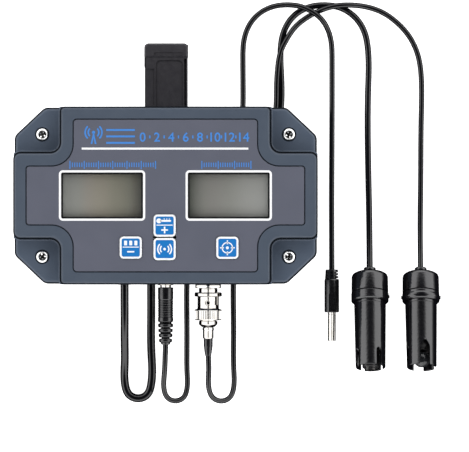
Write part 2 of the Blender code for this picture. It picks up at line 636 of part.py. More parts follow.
def make_bnc(root, nickel, black):
    seat = empty("bnc_seat", (BNC_X, -CASE_H / 2, OUTLET_Z), LYING, root)
    jack_section = [
        (-8.0, 2.0), (-8.0, 5.7), (-2.7, 5.7), (-2.7, 4.6), (2.4, 4.6), (2.4, 4.75), (12.7, 4.75),
        (13.0, 4.5), (13.0, 4.1), (4.0, 4.1), (4.0, 2.0),
    ]
    jack = put(turned("bnc_jack", jack_section, FINE_SIDES, nickel, ring=True), seat)
    lugs = rod("bnc_lugs", 1.0, 4.4, 5.35, POST_SIDES)
    other = rod("bnc_lug_under", 1.0, 4.4, 5.35, POST_SIDES)
    for lug, turn in ((lugs, -math.pi / 2), (other, math.pi / 2)):
        lug.location.z = 9.5 * MM
        lug.rotation_euler.x = turn
    join(jack, lugs, other)
    shade_round(jack)

    corner = 6.55 / math.cos(math.pi / 6)
    hexagon = [(corner * math.sin(a), corner * math.cos(a), 0) for a in (-math.pi / 3 * i for i in range(6))]
    nut = put(prism("bnc_jack_nut", hexagon, 0.2, 2.0, nickel), seat)
    cut(nut, rod("nut_bore", 4.9, -PASS, 3.0))

    sleeve_section = [
        (4.2, 4.95), (4.2, 6.6), (4.5, 6.95), (6.1, 6.95), (6.4, 6.6), (6.4, 5.45), (12.7, 5.45),
        (13.0, 6.9), (13.3, 7.3), (18.0, 7.3), (18.4, 6.8), (18.4, 4.4), (13.4, 4.4), (13.4, 4.95),
    ]
    sleeve = put(turned("bnc_coupling_nut", sleeve_section, ROUND_SIDES, nickel, ring=True), seat)
    for half in (0, math.pi):
        ramp = sector(f"ramp_{half:.0f}", 4.0, 5.8, half - 0.26, half + 1.1, 8.1, 10.9)
        way_out = sector(f"way_out_{half:.0f}", 4.0, 5.8, half + 0.84, half + 1.1, 3.0, 9.0)
        cut(sleeve, ramp, way_out)
    shade_round(sleeve)

    body = [
        (4.4, 3.3), (4.8, 3.7), (13.3, 3.7), (13.3, 4.1), (18.7, 4.1), (18.7, 4.6), (20.6, 4.6), (21.7, 3.6),
    ]
    shade_round(put(turned("bnc_plug_body", body, FINE_SIDES, nickel), seat))
    shade_round(put(turned("bnc_ferrule", [(22.0, 2.8), (27.7, 2.8)], FINE_SIDES, nickel), seat))
    boot = [(28.0, 2.2), (28.3, 2.3), (31.5, 2.25), (34.5, 1.9), (36.4, 1.65)]
    shade_round(put(turned("bnc_boot", boot, 16, black), seat))


def make_supply_plug(root, black, nickel):
    seat = empty("supply_seat", (SUPPLY_X, SUPPLY_Y, SUPPLY_Z), LYING, root)
    body = [(0.0, 1.9)]
    for i in range(3):
        at = 0.2 + 1.6 * i
        body += [(at, 2.4), (at + 0.15, 3.3), (at + 1.05, 3.3), (at + 1.2, 2.4)]
    body += [(5.0, 3.3), (5.5, 3.75), (21.6, 3.75), (22.0, 3.4), (22.0, 2.35), (16.8, 2.35)]
    section = body + [(16.8, 0.4), (0.0, 0.4)]
    shade_round(put(turned("supply_plug_body", section, FINE_SIDES, black, ring=True), seat))
    barrel = [(17.1, 0.95), (17.1, 2.05), (36.3, 2.05), (36.6, 1.85), (36.6, 0.95)]
    shade_round(put(turned("supply_plug_barrel", barrel, FINE_SIDES, nickel, ring=True), seat))


# ---- Probes -----------------------------------------------------------------------------------------
def make_probe(name, x, root, black, opening, first_angle):
    """What the two probes share, in a frame whose +Z runs from the lead to the tip. The guard has four
    openings of one outline."""
    seat = empty(f"{name}_seat", (x, PROBE_Y, PROBE_Z), (math.pi / 2 + PROBE_TILT, 0, 0), root)
    gland = [(0.0, 2.3), (0.3, 3.05), (2.1, 3.05)]
    shade_round(put(turned(f"{name}_gland", gland, FINE_SIDES, black), seat))
    head = [
        (2.4, 3.2), (2.6, 5.2), (3.2, 7.4), (4.0, 8.7), (5.0, 9.25), (13.4, 9.35), (13.4, 6.4),
        (18.0, 6.4),
    ]
    shade_round(put(turned(f"{name}_head", head, ROUND_SIDES, black), seat))
    collar = [(13.7, 8.4), (13.7, 9.3), (14.0, 9.5), (18.0, 9.5), (18.6, 9.0), (18.6, 8.4)]
    shade_round(put(turned(f"{name}_collar", collar, ROUND_SIDES, black, ring=True), seat))
    guard_section = [(13.8, 6.75), (13.8, 8.1), (18.9, 8.1), (53.2, 7.6), (53.2, 6.5)]
    guard = put(turned(f"{name}_guard", guard_section, ROUND_SIDES, black, ring=True), seat)
    for i in range(4):
        slot = prism(f"{name}_slot_{i}", opening, 4.0, 12.0)
        # The opening is drawn across X and along Y: this stands its Y along the probe's axis.
        slot.rotation_euler = (-math.pi / 2, math.pi, -first_angle - math.pi / 2 * i)
        cut(guard, slot)
    shade_round(guard)
    return seat


def make_ec_probe(root, black, dark):
    half, top = 1.35, 44.3
    opening = [(half, 60, 0), (-half, 60, 0), (-half, top, half * 0.995), (half, top, half * 0.995)]
    seat = make_probe("ec_probe", EC_PROBE_X, root, black, opening, math.radians(33))
    cell = [(18.3, 5.2), (44.5, 5.2), (45.5, 4.2), (52.9, 4.2), (53.6, 3.7)]
    shade_round(put(turned("ec_probe_electrode", cell, FINE_SIDES, dark), seat))


def make_ph_probe(root, black, dark, glass):
    half, top, spring = 2.6, 39.9, 43.3
    opening = [(half, 60, 0), (-half, 60, 0), (-half, spring, 3.0), (0, top, 0.5), (half, spring, 3.0)]
    seat = make_probe("ph_probe", PH_PROBE_X, root, black, opening, math.radians(12))
    stem = [(18.3, 5.4), (42.3, 5.4), (43.3, 4.6), (44.5, 4.2)]
    shade_round(put(turned("ph_probe_electrode", stem, FINE_SIDES, dark), seat))
    bulb_centre, bulb_r = 48.8, 4.2
    bulb = []
    for i in range(7):
        angle = math.radians(152 - 25 * i)
        bulb.append((bulb_centre - bulb_r * math.cos(math.pi - angle), bulb_r * math.sin(angle)))
    shade_round(put(turned("ph_probe_bulb", bulb, FINE_SIDES, glass), seat))


# ---- The model ----------------------------------------------------------------------------------------
def main():
    for obj in list(bpy.data.objects):
        bpy.data.objects.remove(obj)
    case_plastic = material("case_plastic", (0.085, 0.105, 0.135), 0.5)
    overlay_film = material("overlay_film", (0.115, 0.12, 0.155), 0.42)
    clear_plastic = material("clear_plastic", (0.85, 0.87, 0.84), 0.08, alpha=0.3)
    display_grey = material("display_grey", (0.2, 0.2, 0.17), 0.25)
    board_green = material("board_green", (0.02, 0.16, 0.06), 0.5)
    tin = material("tin", (0.7, 0.7, 0.68), 0.35, 1.0)
    steel = material("steel", (0.8, 0.8, 0.8), 0.25, 1.0)
    nickel = material("nickel", (0.75, 0.72, 0.66), 0.22, 1.0)
    key_blue = material("key_blue", (0.05, 0.26, 0.72), 0.4)
    black_plastic = material("black_plastic", (0.014, 0.014, 0.016), 0.35)
    black_rubber = material("black_rubber", (0.02, 0.02, 0.02), 0.7)
    cable_jacket = material("cable_jacket", (0.016, 0.016, 0.018), 0.4)
    probe_glass = material("probe_glass", (0.25, 0.27, 0.28), 0.1, alpha=0.6)

    root = empty("meter", (0, ROW_SHIFT_Y, 0))
    make_rear_cover(root, case_plastic)
    make_front_cover(root, case_plastic)
    make_seal(root, black_rubber)
    make_fasteners(root, steel, black_rubber)
    make_overlay(root, overlay_film)
    make_displays(root, clear_plastic, display_grey)
    make_board(root, board_green, tin, steel)
    make_keys(root, key_blue, black_plastic)
    make_strap(root, black_plastic)
    make_clip(root, black_plastic, steel)
    make_outlets(root, nickel, black_plastic, black_rubber)
    make_bnc(root, nickel, black_rubber)
    make_supply_plug(root, black_plastic, nickel)
    make_ec_probe(root, black_plastic, black_plastic)
    make_ph_probe(root, black_plastic, black_plastic, probe_glass)
    make_cords(root, cable_jacket)


main()
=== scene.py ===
# A hanging water quality meter with its leads and two probes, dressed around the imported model.
# Sizes are in millimetres unless a note says otherwise, and become metres when a mesh is made.
import json
import math

import bmesh
import bpy
import numpy as np
from mathutils import Euler, Matrix, Vector

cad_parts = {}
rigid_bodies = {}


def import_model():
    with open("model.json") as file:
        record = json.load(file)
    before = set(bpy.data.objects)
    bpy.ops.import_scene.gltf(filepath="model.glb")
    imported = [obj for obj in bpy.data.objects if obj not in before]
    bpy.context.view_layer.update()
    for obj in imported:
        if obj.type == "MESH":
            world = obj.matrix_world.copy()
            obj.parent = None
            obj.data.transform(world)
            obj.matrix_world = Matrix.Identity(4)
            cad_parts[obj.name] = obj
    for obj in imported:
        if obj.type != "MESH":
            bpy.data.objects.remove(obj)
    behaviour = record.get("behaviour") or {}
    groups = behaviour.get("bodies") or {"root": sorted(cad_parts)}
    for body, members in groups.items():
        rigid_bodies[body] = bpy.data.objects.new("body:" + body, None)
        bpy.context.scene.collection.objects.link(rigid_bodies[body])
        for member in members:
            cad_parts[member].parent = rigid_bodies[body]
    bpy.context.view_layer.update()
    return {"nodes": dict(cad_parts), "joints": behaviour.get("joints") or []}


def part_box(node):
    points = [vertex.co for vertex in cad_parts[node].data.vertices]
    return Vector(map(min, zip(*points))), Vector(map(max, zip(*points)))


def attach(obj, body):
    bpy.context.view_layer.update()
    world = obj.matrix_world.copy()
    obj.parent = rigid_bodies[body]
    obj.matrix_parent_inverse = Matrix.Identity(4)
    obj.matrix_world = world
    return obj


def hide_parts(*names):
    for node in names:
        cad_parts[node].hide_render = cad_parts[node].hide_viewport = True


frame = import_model()
mm = 0.001
quarter = math.pi / 2


# ---- places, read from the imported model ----
def low(node):
    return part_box(node)[0] / mm


def high(node):
    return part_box(node)[1] / mm


def middle(node):
    return (low(node) + high(node)) / 2


# ---- node trees ----
class Value:
    # one socket of a tree, on which sums are written as plain Python
    def __init__(self, maker, socket):
        self.maker, self.socket = maker, socket

    def sum(self, operation, first, second):
        return self.maker.node("ShaderNodeMath", {"operation": operation}, {0: first, 1: second})

    def __add__(self, other):
        return self.sum("ADD", self, other)

    def __radd__(self, other):
        return self.sum("ADD", other, self)

    def __sub__(self, other):
        return self.sum("SUBTRACT", self, other)

    def __rsub__(self, other):
        return self.sum("SUBTRACT", other, self)

    def __mul__(self, other):
        return self.sum("MULTIPLY", self, other)

    def __truediv__(self, other):
        return self.sum("DIVIDE", self, other)

    def __mod__(self, other):
        return self.sum("MODULO", self, other)

    def __lt__(self, other):
        return self.sum("LESS_THAN", self, other)


class Maker:
    def __init__(self, tree):
        self.tree = tree

    def node(self, kind, settings=None, inputs=None, output=0):
        made = self.tree.nodes.new(kind)
        for setting, value in (settings or {}).items():
            if setting == "stops":
                stops = made.color_ramp.elements
                for stop, (place, colour) in zip(stops, value):
                    stop.position, stop.color = place, colour
                for place, colour in value[len(stops):]:
                    stops.new(place).color = colour
            else:
                setattr(made, setting, value)
        for socket, value in (inputs or {}).items():
            self.give(made.inputs[socket], value)
        return Value(self, made.outputs[output]) if len(made.outputs) else made

    def give(self, socket, value):
        if isinstance(value, Value):
            self.tree.links.new(value.socket, socket)
        else:
            socket.default_value = value

    def colour(self, value):
        return value if isinstance(value, Value) else (*value, 1)

    def mix(self, factor, first, second):
        return self.node(
            "ShaderNodeMix", {"data_type": "RGBA", "clamp_factor": True},
            {0: factor, 6: self.colour(first), 7: self.colour(second)}, output=2,
        )

    def noise(self, vector, scale, detail=3.0):
        return self.node("ShaderNodeTexNoise", {}, {"Vector": vector, "Scale": scale, "Detail": detail})

    def along(self, vector, axis):
        return self.node("ShaderNodeSeparateXYZ", {}, {0: vector}, output=axis)

    def ramp(self, stops, place):
        return self.node("ShaderNodeValToRGB", {"stops": stops}, {"Fac": place})

    def rise(self, value, start, end):
        # 0 up to the start, 1 from the end on
        span = {"Value": value, "From Min": start, "From Max": end}
        return self.node("ShaderNodeMapRange", {"interpolation_type": "SMOOTHSTEP"}, span)

    def turnedAway(self):
        # 0 where a surface faces the eye, 1 at its rim
        return self.node("ShaderNodeLayerWeight", {}, {"Blend": 0.5}, output="Facing")

    def roughen(self, shader, height, depth):
        bump = {"Height": height, "Strength": 1.0, "Distance": depth}
        self.give(shader["Normal"], self.node("ShaderNodeBump", {}, bump))


# ---- finishes: colours are linear, scales are in features per metre, depths in metres ----
looks = {
    "caseMoulded": {
        "base": (0.057, 0.074, 0.102), "second": (0.065, 0.083, 0.112), "mottle": 60,
        "rough": 0.46, "roughSpread": 0.12, "shine": 0.4, "edges": 1.0,
        "grain": 3600, "depth": 0.000028,
    },
    "overlayFilm": {
        "base": (0.098, 0.105, 0.135), "second": (0.107, 0.113, 0.146), "mottle": 45,
        "rough": 0.42, "roughSpread": 0.1, "shine": 0.4, "grain": 5200, "depth": 0.000014,
    },
    "inkWhite": {
        "base": (0.93, 0.93, 0.93), "second": (0.86, 0.87, 0.88), "mottle": 900,
        "rough": 0.45, "roughSpread": 0.1, "grain": 6000, "depth": 0.000008,
    },
    "inkBlue": {
        "base": (0.060, 0.23, 0.62), "second": (0.055, 0.21, 0.58), "mottle": 900,
        "rough": 0.42, "roughSpread": 0.1, "grain": 6000, "depth": 0.000008,
    },
    "keyBlue": {
        "base": (0.012, 0.172, 0.50), "second": (0.010, 0.160, 0.47), "mottle": 260,
        "rough": 0.36, "roughSpread": 0.12, "grain": 4200, "depth": 0.000012,
    },
    "keyWhite": {
        "base": (0.90, 0.91, 0.92), "second": (0.84, 0.85, 0.87), "mottle": 320,
        "rough": 0.38, "roughSpread": 0.12, "grain": 4200, "depth": 0.000012,
    },
    "probePlastic": {
        "base": (0.003, 0.003, 0.004), "second": (0.005, 0.005, 0.0065), "mottle": 110,
        "rough": 0.13, "roughSpread": 0.05, "shine": 0.85, "rim": (0.26, 0.46),
        "grain": 900, "depth": 0.00004,
    },
    "plugVinyl": {
        "base": (0.006, 0.006, 0.0075), "second": (0.010, 0.010, 0.0115), "mottle": 240,
        "rough": 0.22, "roughSpread": 0.16, "shine": 0.8, "rim": (0.24, 0.44),
        "grain": 2600, "depth": 0.00002,
    },
    "cableJacket": {
        "base": (0.003, 0.003, 0.004), "second": (0.005, 0.005, 0.0065), "mottle": 180,
        "rough": 0.12, "roughSpread": 0.05, "shine": 0.6, "rim": (0.16, 0.36),
        "grain": 1500, "depth": 0.00003,
    },
    "hangerNylon": {
        "base": (0.024, 0.022, 0.027), "second": (0.030, 0.028, 0.033), "mottle": 150,
        "rough": 0.5, "roughSpread": 0.16, "shine": 0.6, "grain": 2400, "depth": 0.000035,
    },
    "sealRubber": {
        "base": (0.014, 0.014, 0.015), "second": (0.024, 0.024, 0.025), "mottle": 300,
        "rough": 0.72, "roughSpread": 0.16, "grain": 2800, "depth": 0.00004,
    },
    "electrodeDark": {
        "base": (0.007, 0.007, 0.008), "second": (0.014, 0.013, 0.013), "mottle": 420,
        "rough": 0.4, "roughSpread": 0.3, "grain": 3200, "depth": 0.00003,
    },
    "boardGreen": {
        "base": (0.012, 0.11, 0.045), "second": (0.02, 0.15, 0.06), "mottle": 220,
        "rough": 0.34, "roughSpread": 0.12, "grain": 3000, "depth": 0.00001,
    },
    "switchBlack": {
        "base": (0.012, 0.012, 0.013), "second": (0.02, 0.02, 0.021), "mottle": 400,
        "rough": 0.4, "roughSpread": 0.12, "grain": 3000, "depth": 0.00002,
    },
    "tinPlate": {
        "base": (0.72, 0.71, 0.69), "second": (0.55, 0.54, 0.52), "mottle": 180,
        "rough": 0.34, "roughSpread": 0.25, "grain": 2400, "depth": 0.00001, "metallic": 1.0,
    },
    "brightSteel": {
        "base": (0.93, 0.93, 0.92), "second": (0.82, 0.82, 0.81), "mottle": 500,
        "rough": 0.17, "roughSpread": 0.14, "grain": 2600, "depth": 0.000012, "metallic": 1.0,
    },
}
moulded = {  # painted shade on the rounded edges between walls and flat tops, found by flatness from 0 on a wall to 1 on a flat top; a painted lighter tone on the ledge, found by height in metres
    "wall": (0.03, 0.10), "top": (0.66, 0.92), "edgeShadeTone": 0.1, "ledge": (0.0308, 0.0336), "ledgeLightTone": 1.3,
}
nickel = {
    "bright": (0.60, 0.585, 0.56), "warm": (0.46, 0.42, 0.37), "rim": (0.01, 0.01, 0.01),
    "rimFrom": (0.30, 0.46), "rings": 5200, "depth": 0.000010,
}
crystal = {  # painted reflection: tones along X across both displays, from the case's middle; painted shade along Y in each, darker towards its top and bottom
    "reach": 53.0, "along": (
        (-51.8, (0.330, 0.335, 0.313)), (-48.0, (0.262, 0.266, 0.246)), (-44.0, (0.268, 0.273, 0.247)),
        (-39.0, (0.278, 0.262, 0.227)), (-34.8, (0.273, 0.257, 0.211)), (-30.7, (0.260, 0.245, 0.199)),
        (-26.7, (0.230, 0.223, 0.178)), (-22.6, (0.208, 0.202, 0.162)), (-18.5, (0.178, 0.178, 0.144)),
        (-15.5, (0.138, 0.135, 0.114)), (-13.0, (0.122, 0.122, 0.108)), (12.5, (0.128, 0.134, 0.117)),
        (17.0, (0.186, 0.189, 0.170)), (20.0, (0.220, 0.220, 0.199)), (24.1, (0.233, 0.229, 0.211)),
        (32.3, (0.258, 0.261, 0.237)), (40.4, (0.305, 0.309, 0.288)), (51.0, (0.340, 0.344, 0.325)),
    ),
    "height": 12.0, "down": (
        (-11.0, 0.76), (-9.7, 0.86), (-8.6, 0.95), (-6.6, 1.0), (-4.6, 1.05), (-1.5, 1.02),
        (4.6, 0.96), (7.6, 0.92), (9.2, 0.88), (10.2, 0.84), (11.2, 0.74),
    ),
}


def scaled(colour, factor):
    return tuple(factor * part for part in colour)


def startMaterial(name):
    material = bpy.data.materials.new(name)
    material.use_nodes = True
    maker = Maker(material.node_tree)
    return material, maker, material.node_tree.nodes["Principled BSDF"].inputs


def makeFinish(name, look):
    material, maker, shader = startMaterial(name)
    place = maker.node("ShaderNodeTexCoord", output="Object")
    mottle = (maker.noise(place, look["mottle"]) - 0.5) * 2.2 + 0.5
    tone = maker.mix(mottle, look["base"], look["second"])
    if "edges" in look:  # painted shade: rounded edges between flat tops and upright walls are darkened and lose their sheen
        upward = maker.along(maker.node("ShaderNodeTexCoord", output="Normal"), "Z")
        flat = maker.node("ShaderNodeMath", {"operation": "ABSOLUTE"}, {0: upward})
        # painted shade mask: 1 on the rounded edges between walls and flat tops
        edge = maker.rise(flat, *moulded["wall"]) * (1 - maker.rise(flat, *moulded["top"])) * look["edges"]
        # painted light: the lower ledge is given a lighter tone than the raised face, by height
        raised = maker.rise(maker.along(place, "Z"), *moulded["ledge"])
        tone = maker.mix(raised, scaled(look["base"], moulded["ledgeLightTone"]), tone)
        # painted shade: those edges take a dark tone
        tone = maker.mix(edge, tone, scaled(look["base"], moulded["edgeShadeTone"]))
    maker.give(shader["Base Color"], tone)
    if "rim" in look:  # round pieces go dark where they turn away
        rim = maker.rise(maker.turnedAway(), *look["rim"])
        maker.give(shader["Specular IOR Level"], (1 - rim) * look["shine"])
    elif "edges" in look:
        maker.give(shader["Specular IOR Level"], (1 - edge) * look["shine"])
    else:
        shader["Specular IOR Level"].default_value = look.get("shine", 0.5)
    shine = maker.noise(place, look["mottle"] * 3.1, 5.0) - 0.5
    maker.give(shader["Roughness"], shine * look["roughSpread"] * 2 + look["rough"])
    maker.roughen(shader, maker.noise(place, look["grain"], 2.0), look["depth"])
    shader["Metallic"].default_value = look.get("metallic", 0.0)
    return material


def makeNickel():
    # turned and plated: fine rings round each part's length, and a faint warm tarnish; painted shade darkens
    # each part where it turns away from the eye
    material, maker, shader = startMaterial("nickelPlate")
    place = maker.node("ShaderNodeTexCoord", output="Object")
    along = maker.along(place, "Y") * nickel["rings"]
    rings = maker.node("ShaderNodeTexNoise", {"noise_dimensions": "1D"}, {"W": along, "Scale": 1.0})
    tarnish = (maker.noise(place, 210, 4.0) - 0.45) * 2.4
    metal = maker.mix(tarnish, nickel["bright"], nickel["warm"])
    # painted shade: the metal goes to the dark rim colour where it turns away from the eye
    rim = maker.rise(maker.turnedAway(), *nickel["rimFrom"])
    maker.give(shader["Base Color"], maker.mix(rim, metal, nickel["rim"]))
    maker.give(shader["Roughness"], 0.04 + rings * 0.04 + maker.noise(place, 700) * 0.03)
    maker.roughen(shader, rings, nickel["depth"])
    shader["Metallic"].default_value = 1.0
    return material


def makeCrystal():
    # unlit displays, with a painted reflection whose tone changes slowly over both of them, and painted shade
    # towards each one's top and bottom
    material, maker, shader = startMaterial("displayCrystal")
    place = maker.node("ShaderNodeTexCoord", output="Object")
    wide, tall = 2 * crystal["reach"], 2 * crystal["height"]
    across = [(at / wide + 0.5, (*tone, 1)) for at, tone in crystal["along"]]
    down = [(at / tall + 0.5, (tone, tone, tone, 1)) for at, tone in crystal["down"]]
    y = maker.along(place, "Y") - middle("display_lens_left").y * mm
    # painted reflection across the displays, and painted shade down each one
    reflectionTones = maker.ramp(across, maker.along(place, "X") / (wide * mm) + 0.5)
    shades = maker.ramp(down, y / (tall * mm) + 0.5)
    multiply = {"data_type": "RGBA", "blend_type": "MULTIPLY"}
    reflectedAndShaded = maker.node("ShaderNodeMix", multiply, {0: 1.0, 6: reflectionTones, 7: shades}, output=2)
    maker.give(shader["Base Color"], reflectedAndShaded)
    maker.give(shader["Roughness"], 0.22 + maker.noise(place, 1600) * 0.1)
    shader["Specular IOR Level"].default_value = 0.1
    return material


def makeClear(name, tint, alpha, roughness):
    material, maker, shader = startMaterial(name)
    place = maker.node("ShaderNodeTexCoord", output="Object")
    maker.give(shader["Base Color"], maker.mix(maker.noise(place, 120), tint, scaled(tint, 0.9)))
    maker.give(shader["Roughness"], roughness + maker.noise(place, 500) * 0.04)
    shader["Alpha"].default_value = alpha
    return material


finishes = {name: makeFinish(name, look) for name, look in looks.items()}
finishes["nickelPlate"] = makeNickel()
finishes["displayCrystal"] = makeCrystal()
finishes["clearLens"] = makeClear("clearLens", (0.04, 0.04, 0.04), 0.06, 0.03)
finishes["bulbGlass"] = makeClear("bulbGlass", (0.02, 0.022, 0.024), 0.86, 0.04)
print("finishes made:", len(finishes))


# ---- outlines: lists of (x, y, corner radius), anticlockwise ----
def fourQuadrants(corners):
    back = corners[::-1]
    return (
        list(corners)
        + [(-x, y, r) for x, y, r in back]
        + [(-x, -y, r) for x, y, r in corners]
        + [(x, -y, r) for x, y, r in back]
    )


def rectangle(width, height, radius):
    return fourQuadrants([(width / 2, height / 2, radius)])


def moved(corners, x, y):
    return [(cx + x, cy + y, r) for cx, cy, r in corners]


def inset(corners, distance):
    # the outline moved inwards: an outer corner's radius shrinks and an inner corner's grows
    result = []
    for i, (x, y, radius) in enumerate(corners):
        here = Vector((x, y))
        before = (here - Vector(corners[i - 1][:2])).normalized()
        after = (Vector(corners[(i + 1) % len(corners)][:2]) - here).normalized()
        turn = before.cross(after)
        point = here + (after - before) * (distance / turn)
        grown = radius - distance if turn > 0 else radius + distance
        result.append((point.x, point.y, max(grown, 0.05)))
    return result


def roundedLine(corners, closed=True, step=9.0):
    # points along straight stretches whose corners are arcs, a point every few degrees
    points = []
    for i, (x, y, radius) in enumerate(corners):
        here = Vector((x, y))
        if radius == 0 or (not closed and i in (0, len(corners) - 1)):
            points.append(here)
            continue
        before = (here - Vector(corners[i - 1][:2])).normalized()
        after = (Vector(corners[(i + 1) % len(corners)][:2]) - here).normalized()
        turn = before.angle_signed(after) * -1
        reach = radius * math.tan(abs(turn) / 2)
        start = here - before * reach
        centre = start + Vector((-before.y, before.x)) * math.copysign(radius, turn)
        arm = start - centre
        steps = max(2, round(math.degrees(abs(turn)) / step))
        for k in range(steps + 1):
            angle = turn * k / steps
            points.append(centre + Vector((
                arm.x * math.cos(angle) - arm.y * math.sin(angle),
                arm.x * math.sin(angle) + arm.y * math.cos(angle),
            )))
    return points


# ---- making meshes ----
def newObject(name, data):
    made = bpy.data.objects.new(name, data)
    bpy.context.scene.collection.objects.link(made)
    return made


def shadeRound(piece, angle=32):
    piece.data.shade_smooth()
    piece.data.set_sharp_from_angle(angle=math.radians(angle))
    return piece


def solid(name, points, faces, finish=None, seat=Matrix()):
    mesh = bpy.data.meshes.new(name)
    mesh.from_pydata([(seat @ Vector(p)) * mm for p in points], [], faces)
    shape = bmesh.new()
    shape.from_mesh(mesh)
    bmesh.ops.recalc_face_normals(shape, faces=shape.faces)
    shape.to_mesh(mesh)
    shape.free()
    if finish:
        mesh.materials.append(finishes[finish])
    return newObject(name, mesh)


def loft(name, layers, finish=None, seat=Matrix()):
    # through outlines of equal point counts, each with its height
    count = len(layers[0][0])
    points = [(p.x, p.y, z) for outline, z in layers for p in outline]
    faces = [list(range(count))[::-1], [count * (len(layers) - 1) + i for i in range(count)]]
    for layer in range(len(layers) - 1):
        low, high = layer * count, (layer + 1) * count
        for i in range(count):
            j = (i + 1) % count
            faces.append([low + i, low + j, high + j, high + i])
    return solid(name, points, faces, finish, seat)


def prism(name, corners, low, high, finish=None, seat=Matrix(), edge=0.0, foot=0.0, step=9.0, steps=5):
    # an outline stood up, with its top edge and its foot rounded
    layers = []
    for k in range(steps + 1 if foot else 0):
        angle = quarter * k / steps
        layers.append((inset(corners, foot * (1 - math.sin(angle))), low + foot * (1 - math.cos(angle))))
    if not foot:
        layers.append((corners, low))
    for k in range(steps + 1 if edge else 0):
        angle = quarter * k / steps
        layers.append((inset(corners, edge * (1 - math.cos(angle))), high - edge * (1 - math.sin(angle))))
    if not edge:
        layers.append((corners, high))
    return loft(name, [(roundedLine(c, step=step), z) for c, z in layers], finish, seat)


def block(name, low, high, finish=None, seat=Matrix(), edge=0.0):
    width, height = high[0] - low[0], high[1] - low[1]
    corners = moved(rectangle(width, height, edge), (low[0] + high[0]) / 2, (low[1] + high[1]) / 2)
    return prism(name, corners, low[2], high[2], finish, seat, edge=edge, steps=3)


def turned(name, section, finish=None, seat=Matrix(), sides=64, ring=False, step=15.0):
    # a section of (distance along Z, radius, fillet) turned about Z; a ring's section closes on itself
    line = roundedLine(section, closed=ring, step=step)
    points, faces, starts = [], [], []
    for p in line:
        starts.append(len(points))
        if p.y < 1e-6:
            points.append((0, 0, p.x))
            continue
        for i in range(sides):
            angle = 2 * math.pi * (i + 0.5) / sides
            points.append((p.y * math.sin(angle), p.y * math.cos(angle), p.x))
    for band in range(len(line) if ring else len(line) - 1):
        a, b = band, (band + 1) % len(line)
        for i in range(sides):
            j = (i + 1) % sides
            low = [starts[a] + i, starts[a] + j] if line[a].y >= 1e-6 else [starts[a]]
            high = [starts[b] + j, starts[b] + i] if line[b].y >= 1e-6 else [starts[b]]
            faces.append(low + high)
    if not ring:
        for end in (0, len(line) - 1):
            if line[end].y >= 1e-6:
                faces.append([starts[end] + i for i in range(sides)])
    return shadeRound(solid(name, points, faces, finish, seat))


def rod(name, radius, low, high, seat=Matrix(), sides=48):
    return turned(name, [(low, radius, 0), (high, radius, 0)], None, seat, sides)


def sector(name, inner, outer, start, end, low, high, finish=None, seat=Matrix(), step=6.0):
    # a curved bar about Z between two radii and two angles in degrees, from +Y towards +X
    steps = max(3, round(abs(end - start) / step))
    angles = [math.radians(start + (end - start) * i / steps) for i in range(steps + 1)]
    outline = [Vector((outer * math.sin(a), outer * math.cos(a))) for a in angles]
    outline += [Vector((inner * math.sin(a), inner * math.cos(a))) for a in reversed(angles)]
    return loft(name, [(outline, low), (outline, high)], finish, seat)


def settle(target, *helpers):
    # keeps what the modifiers make as a plain mesh, and drops the helper objects
    graph = bpy.context.evaluated_depsgraph_get()
    mesh = bpy.data.meshes.new_from_object(target.evaluated_get(graph))
    target.modifiers.clear()
    target.data = mesh
    for helper in helpers:
        bpy.data.objects.remove(helper)
    return target


def combine(target, operation, *tools):
    for tool in tools:
        step = target.modifiers.new("shape", "BOOLEAN")
        step.operation, step.solver, step.object = operation, "EXACT", tool
    return settle(target, *tools)


def cut(target, *tools):
    return combine(target, "DIFFERENCE", *tools)


def join(target, *tools):
    return combine(target, "UNION", *tools)


def soften(piece, width, angle=40, segments=2):
    # a small radius on every crisp edge, and flat faces that stay flat under smooth shading
    shape = bmesh.new()
    shape.from_mesh(piece.data)
    bmesh.ops.remove_doubles(shape, verts=shape.verts, dist=2e-6)
    bmesh.ops.dissolve_limit(
        shape, angle_limit=math.radians(0.6), verts=shape.verts, edges=shape.edges, delimit={"NORMAL"}
    )
    shape.to_mesh(piece.data)
    shape.free()
    if width:
        bevel = piece.modifiers.new("edge", "BEVEL")
        bevel.width, bevel.segments, bevel.limit_method = width * mm, segments, "ANGLE"
        bevel.angle_limit, bevel.use_clamp_overlap = math.radians(angle), True
        bevel.harden_normals = False
        settle(piece)
    shadeRound(piece, 35)
    weighted = piece.modifiers.new("flat", "WEIGHTED_NORMAL")
    weighted.keep_sharp = True
    return settle(piece)


def merged(name, pieces):
    # several plain meshes as one object
    shape = bmesh.new()
    for piece in pieces:
        shape.from_mesh(piece.data)
    mesh = bpy.data.meshes.new(name)
    shape.to_mesh(mesh)
    shape.free()
    for material in pieces[0].data.materials:
        mesh.materials.append(material)
    for piece in pieces:
        bpy.data.objects.remove(piece)
    return newObject(name, mesh)


def dress(piece, body, slot, *nodes):
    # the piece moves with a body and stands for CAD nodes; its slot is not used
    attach(piece, body)
    if nodes:
        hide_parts(*nodes)
    return piece


# ---- Geometry Nodes trees for what repeats ----
def startTree(name, sockets):
    tree = bpy.data.node_groups.new(name, "GeometryNodeTree")
    for label, kind, value in sockets:
        socket = tree.interface.new_socket(name=label, in_out="INPUT", socket_type="NodeSocket" + kind)
        if value is not None:
            socket.default_value = value
    tree.interface.new_socket(name="Geometry", in_out="OUTPUT", socket_type="NodeSocketGeometry")
    maker = Maker(tree)
    entry = tree.nodes.new("NodeGroupInput")
    given = {label: Value(maker, entry.outputs[label]) for label, _, _ in sockets}
    return tree, maker, given


def endTree(maker, instances, material):
    real = maker.node("GeometryNodeRealizeInstances", {}, {"Geometry": instances})
    painted = maker.node("GeometryNodeSetMaterial", {}, {"Geometry": real, "Material": material})
    leave = maker.tree.nodes.new("NodeGroupOutput")
    maker.tree.links.new(painted.socket, leave.inputs[0])


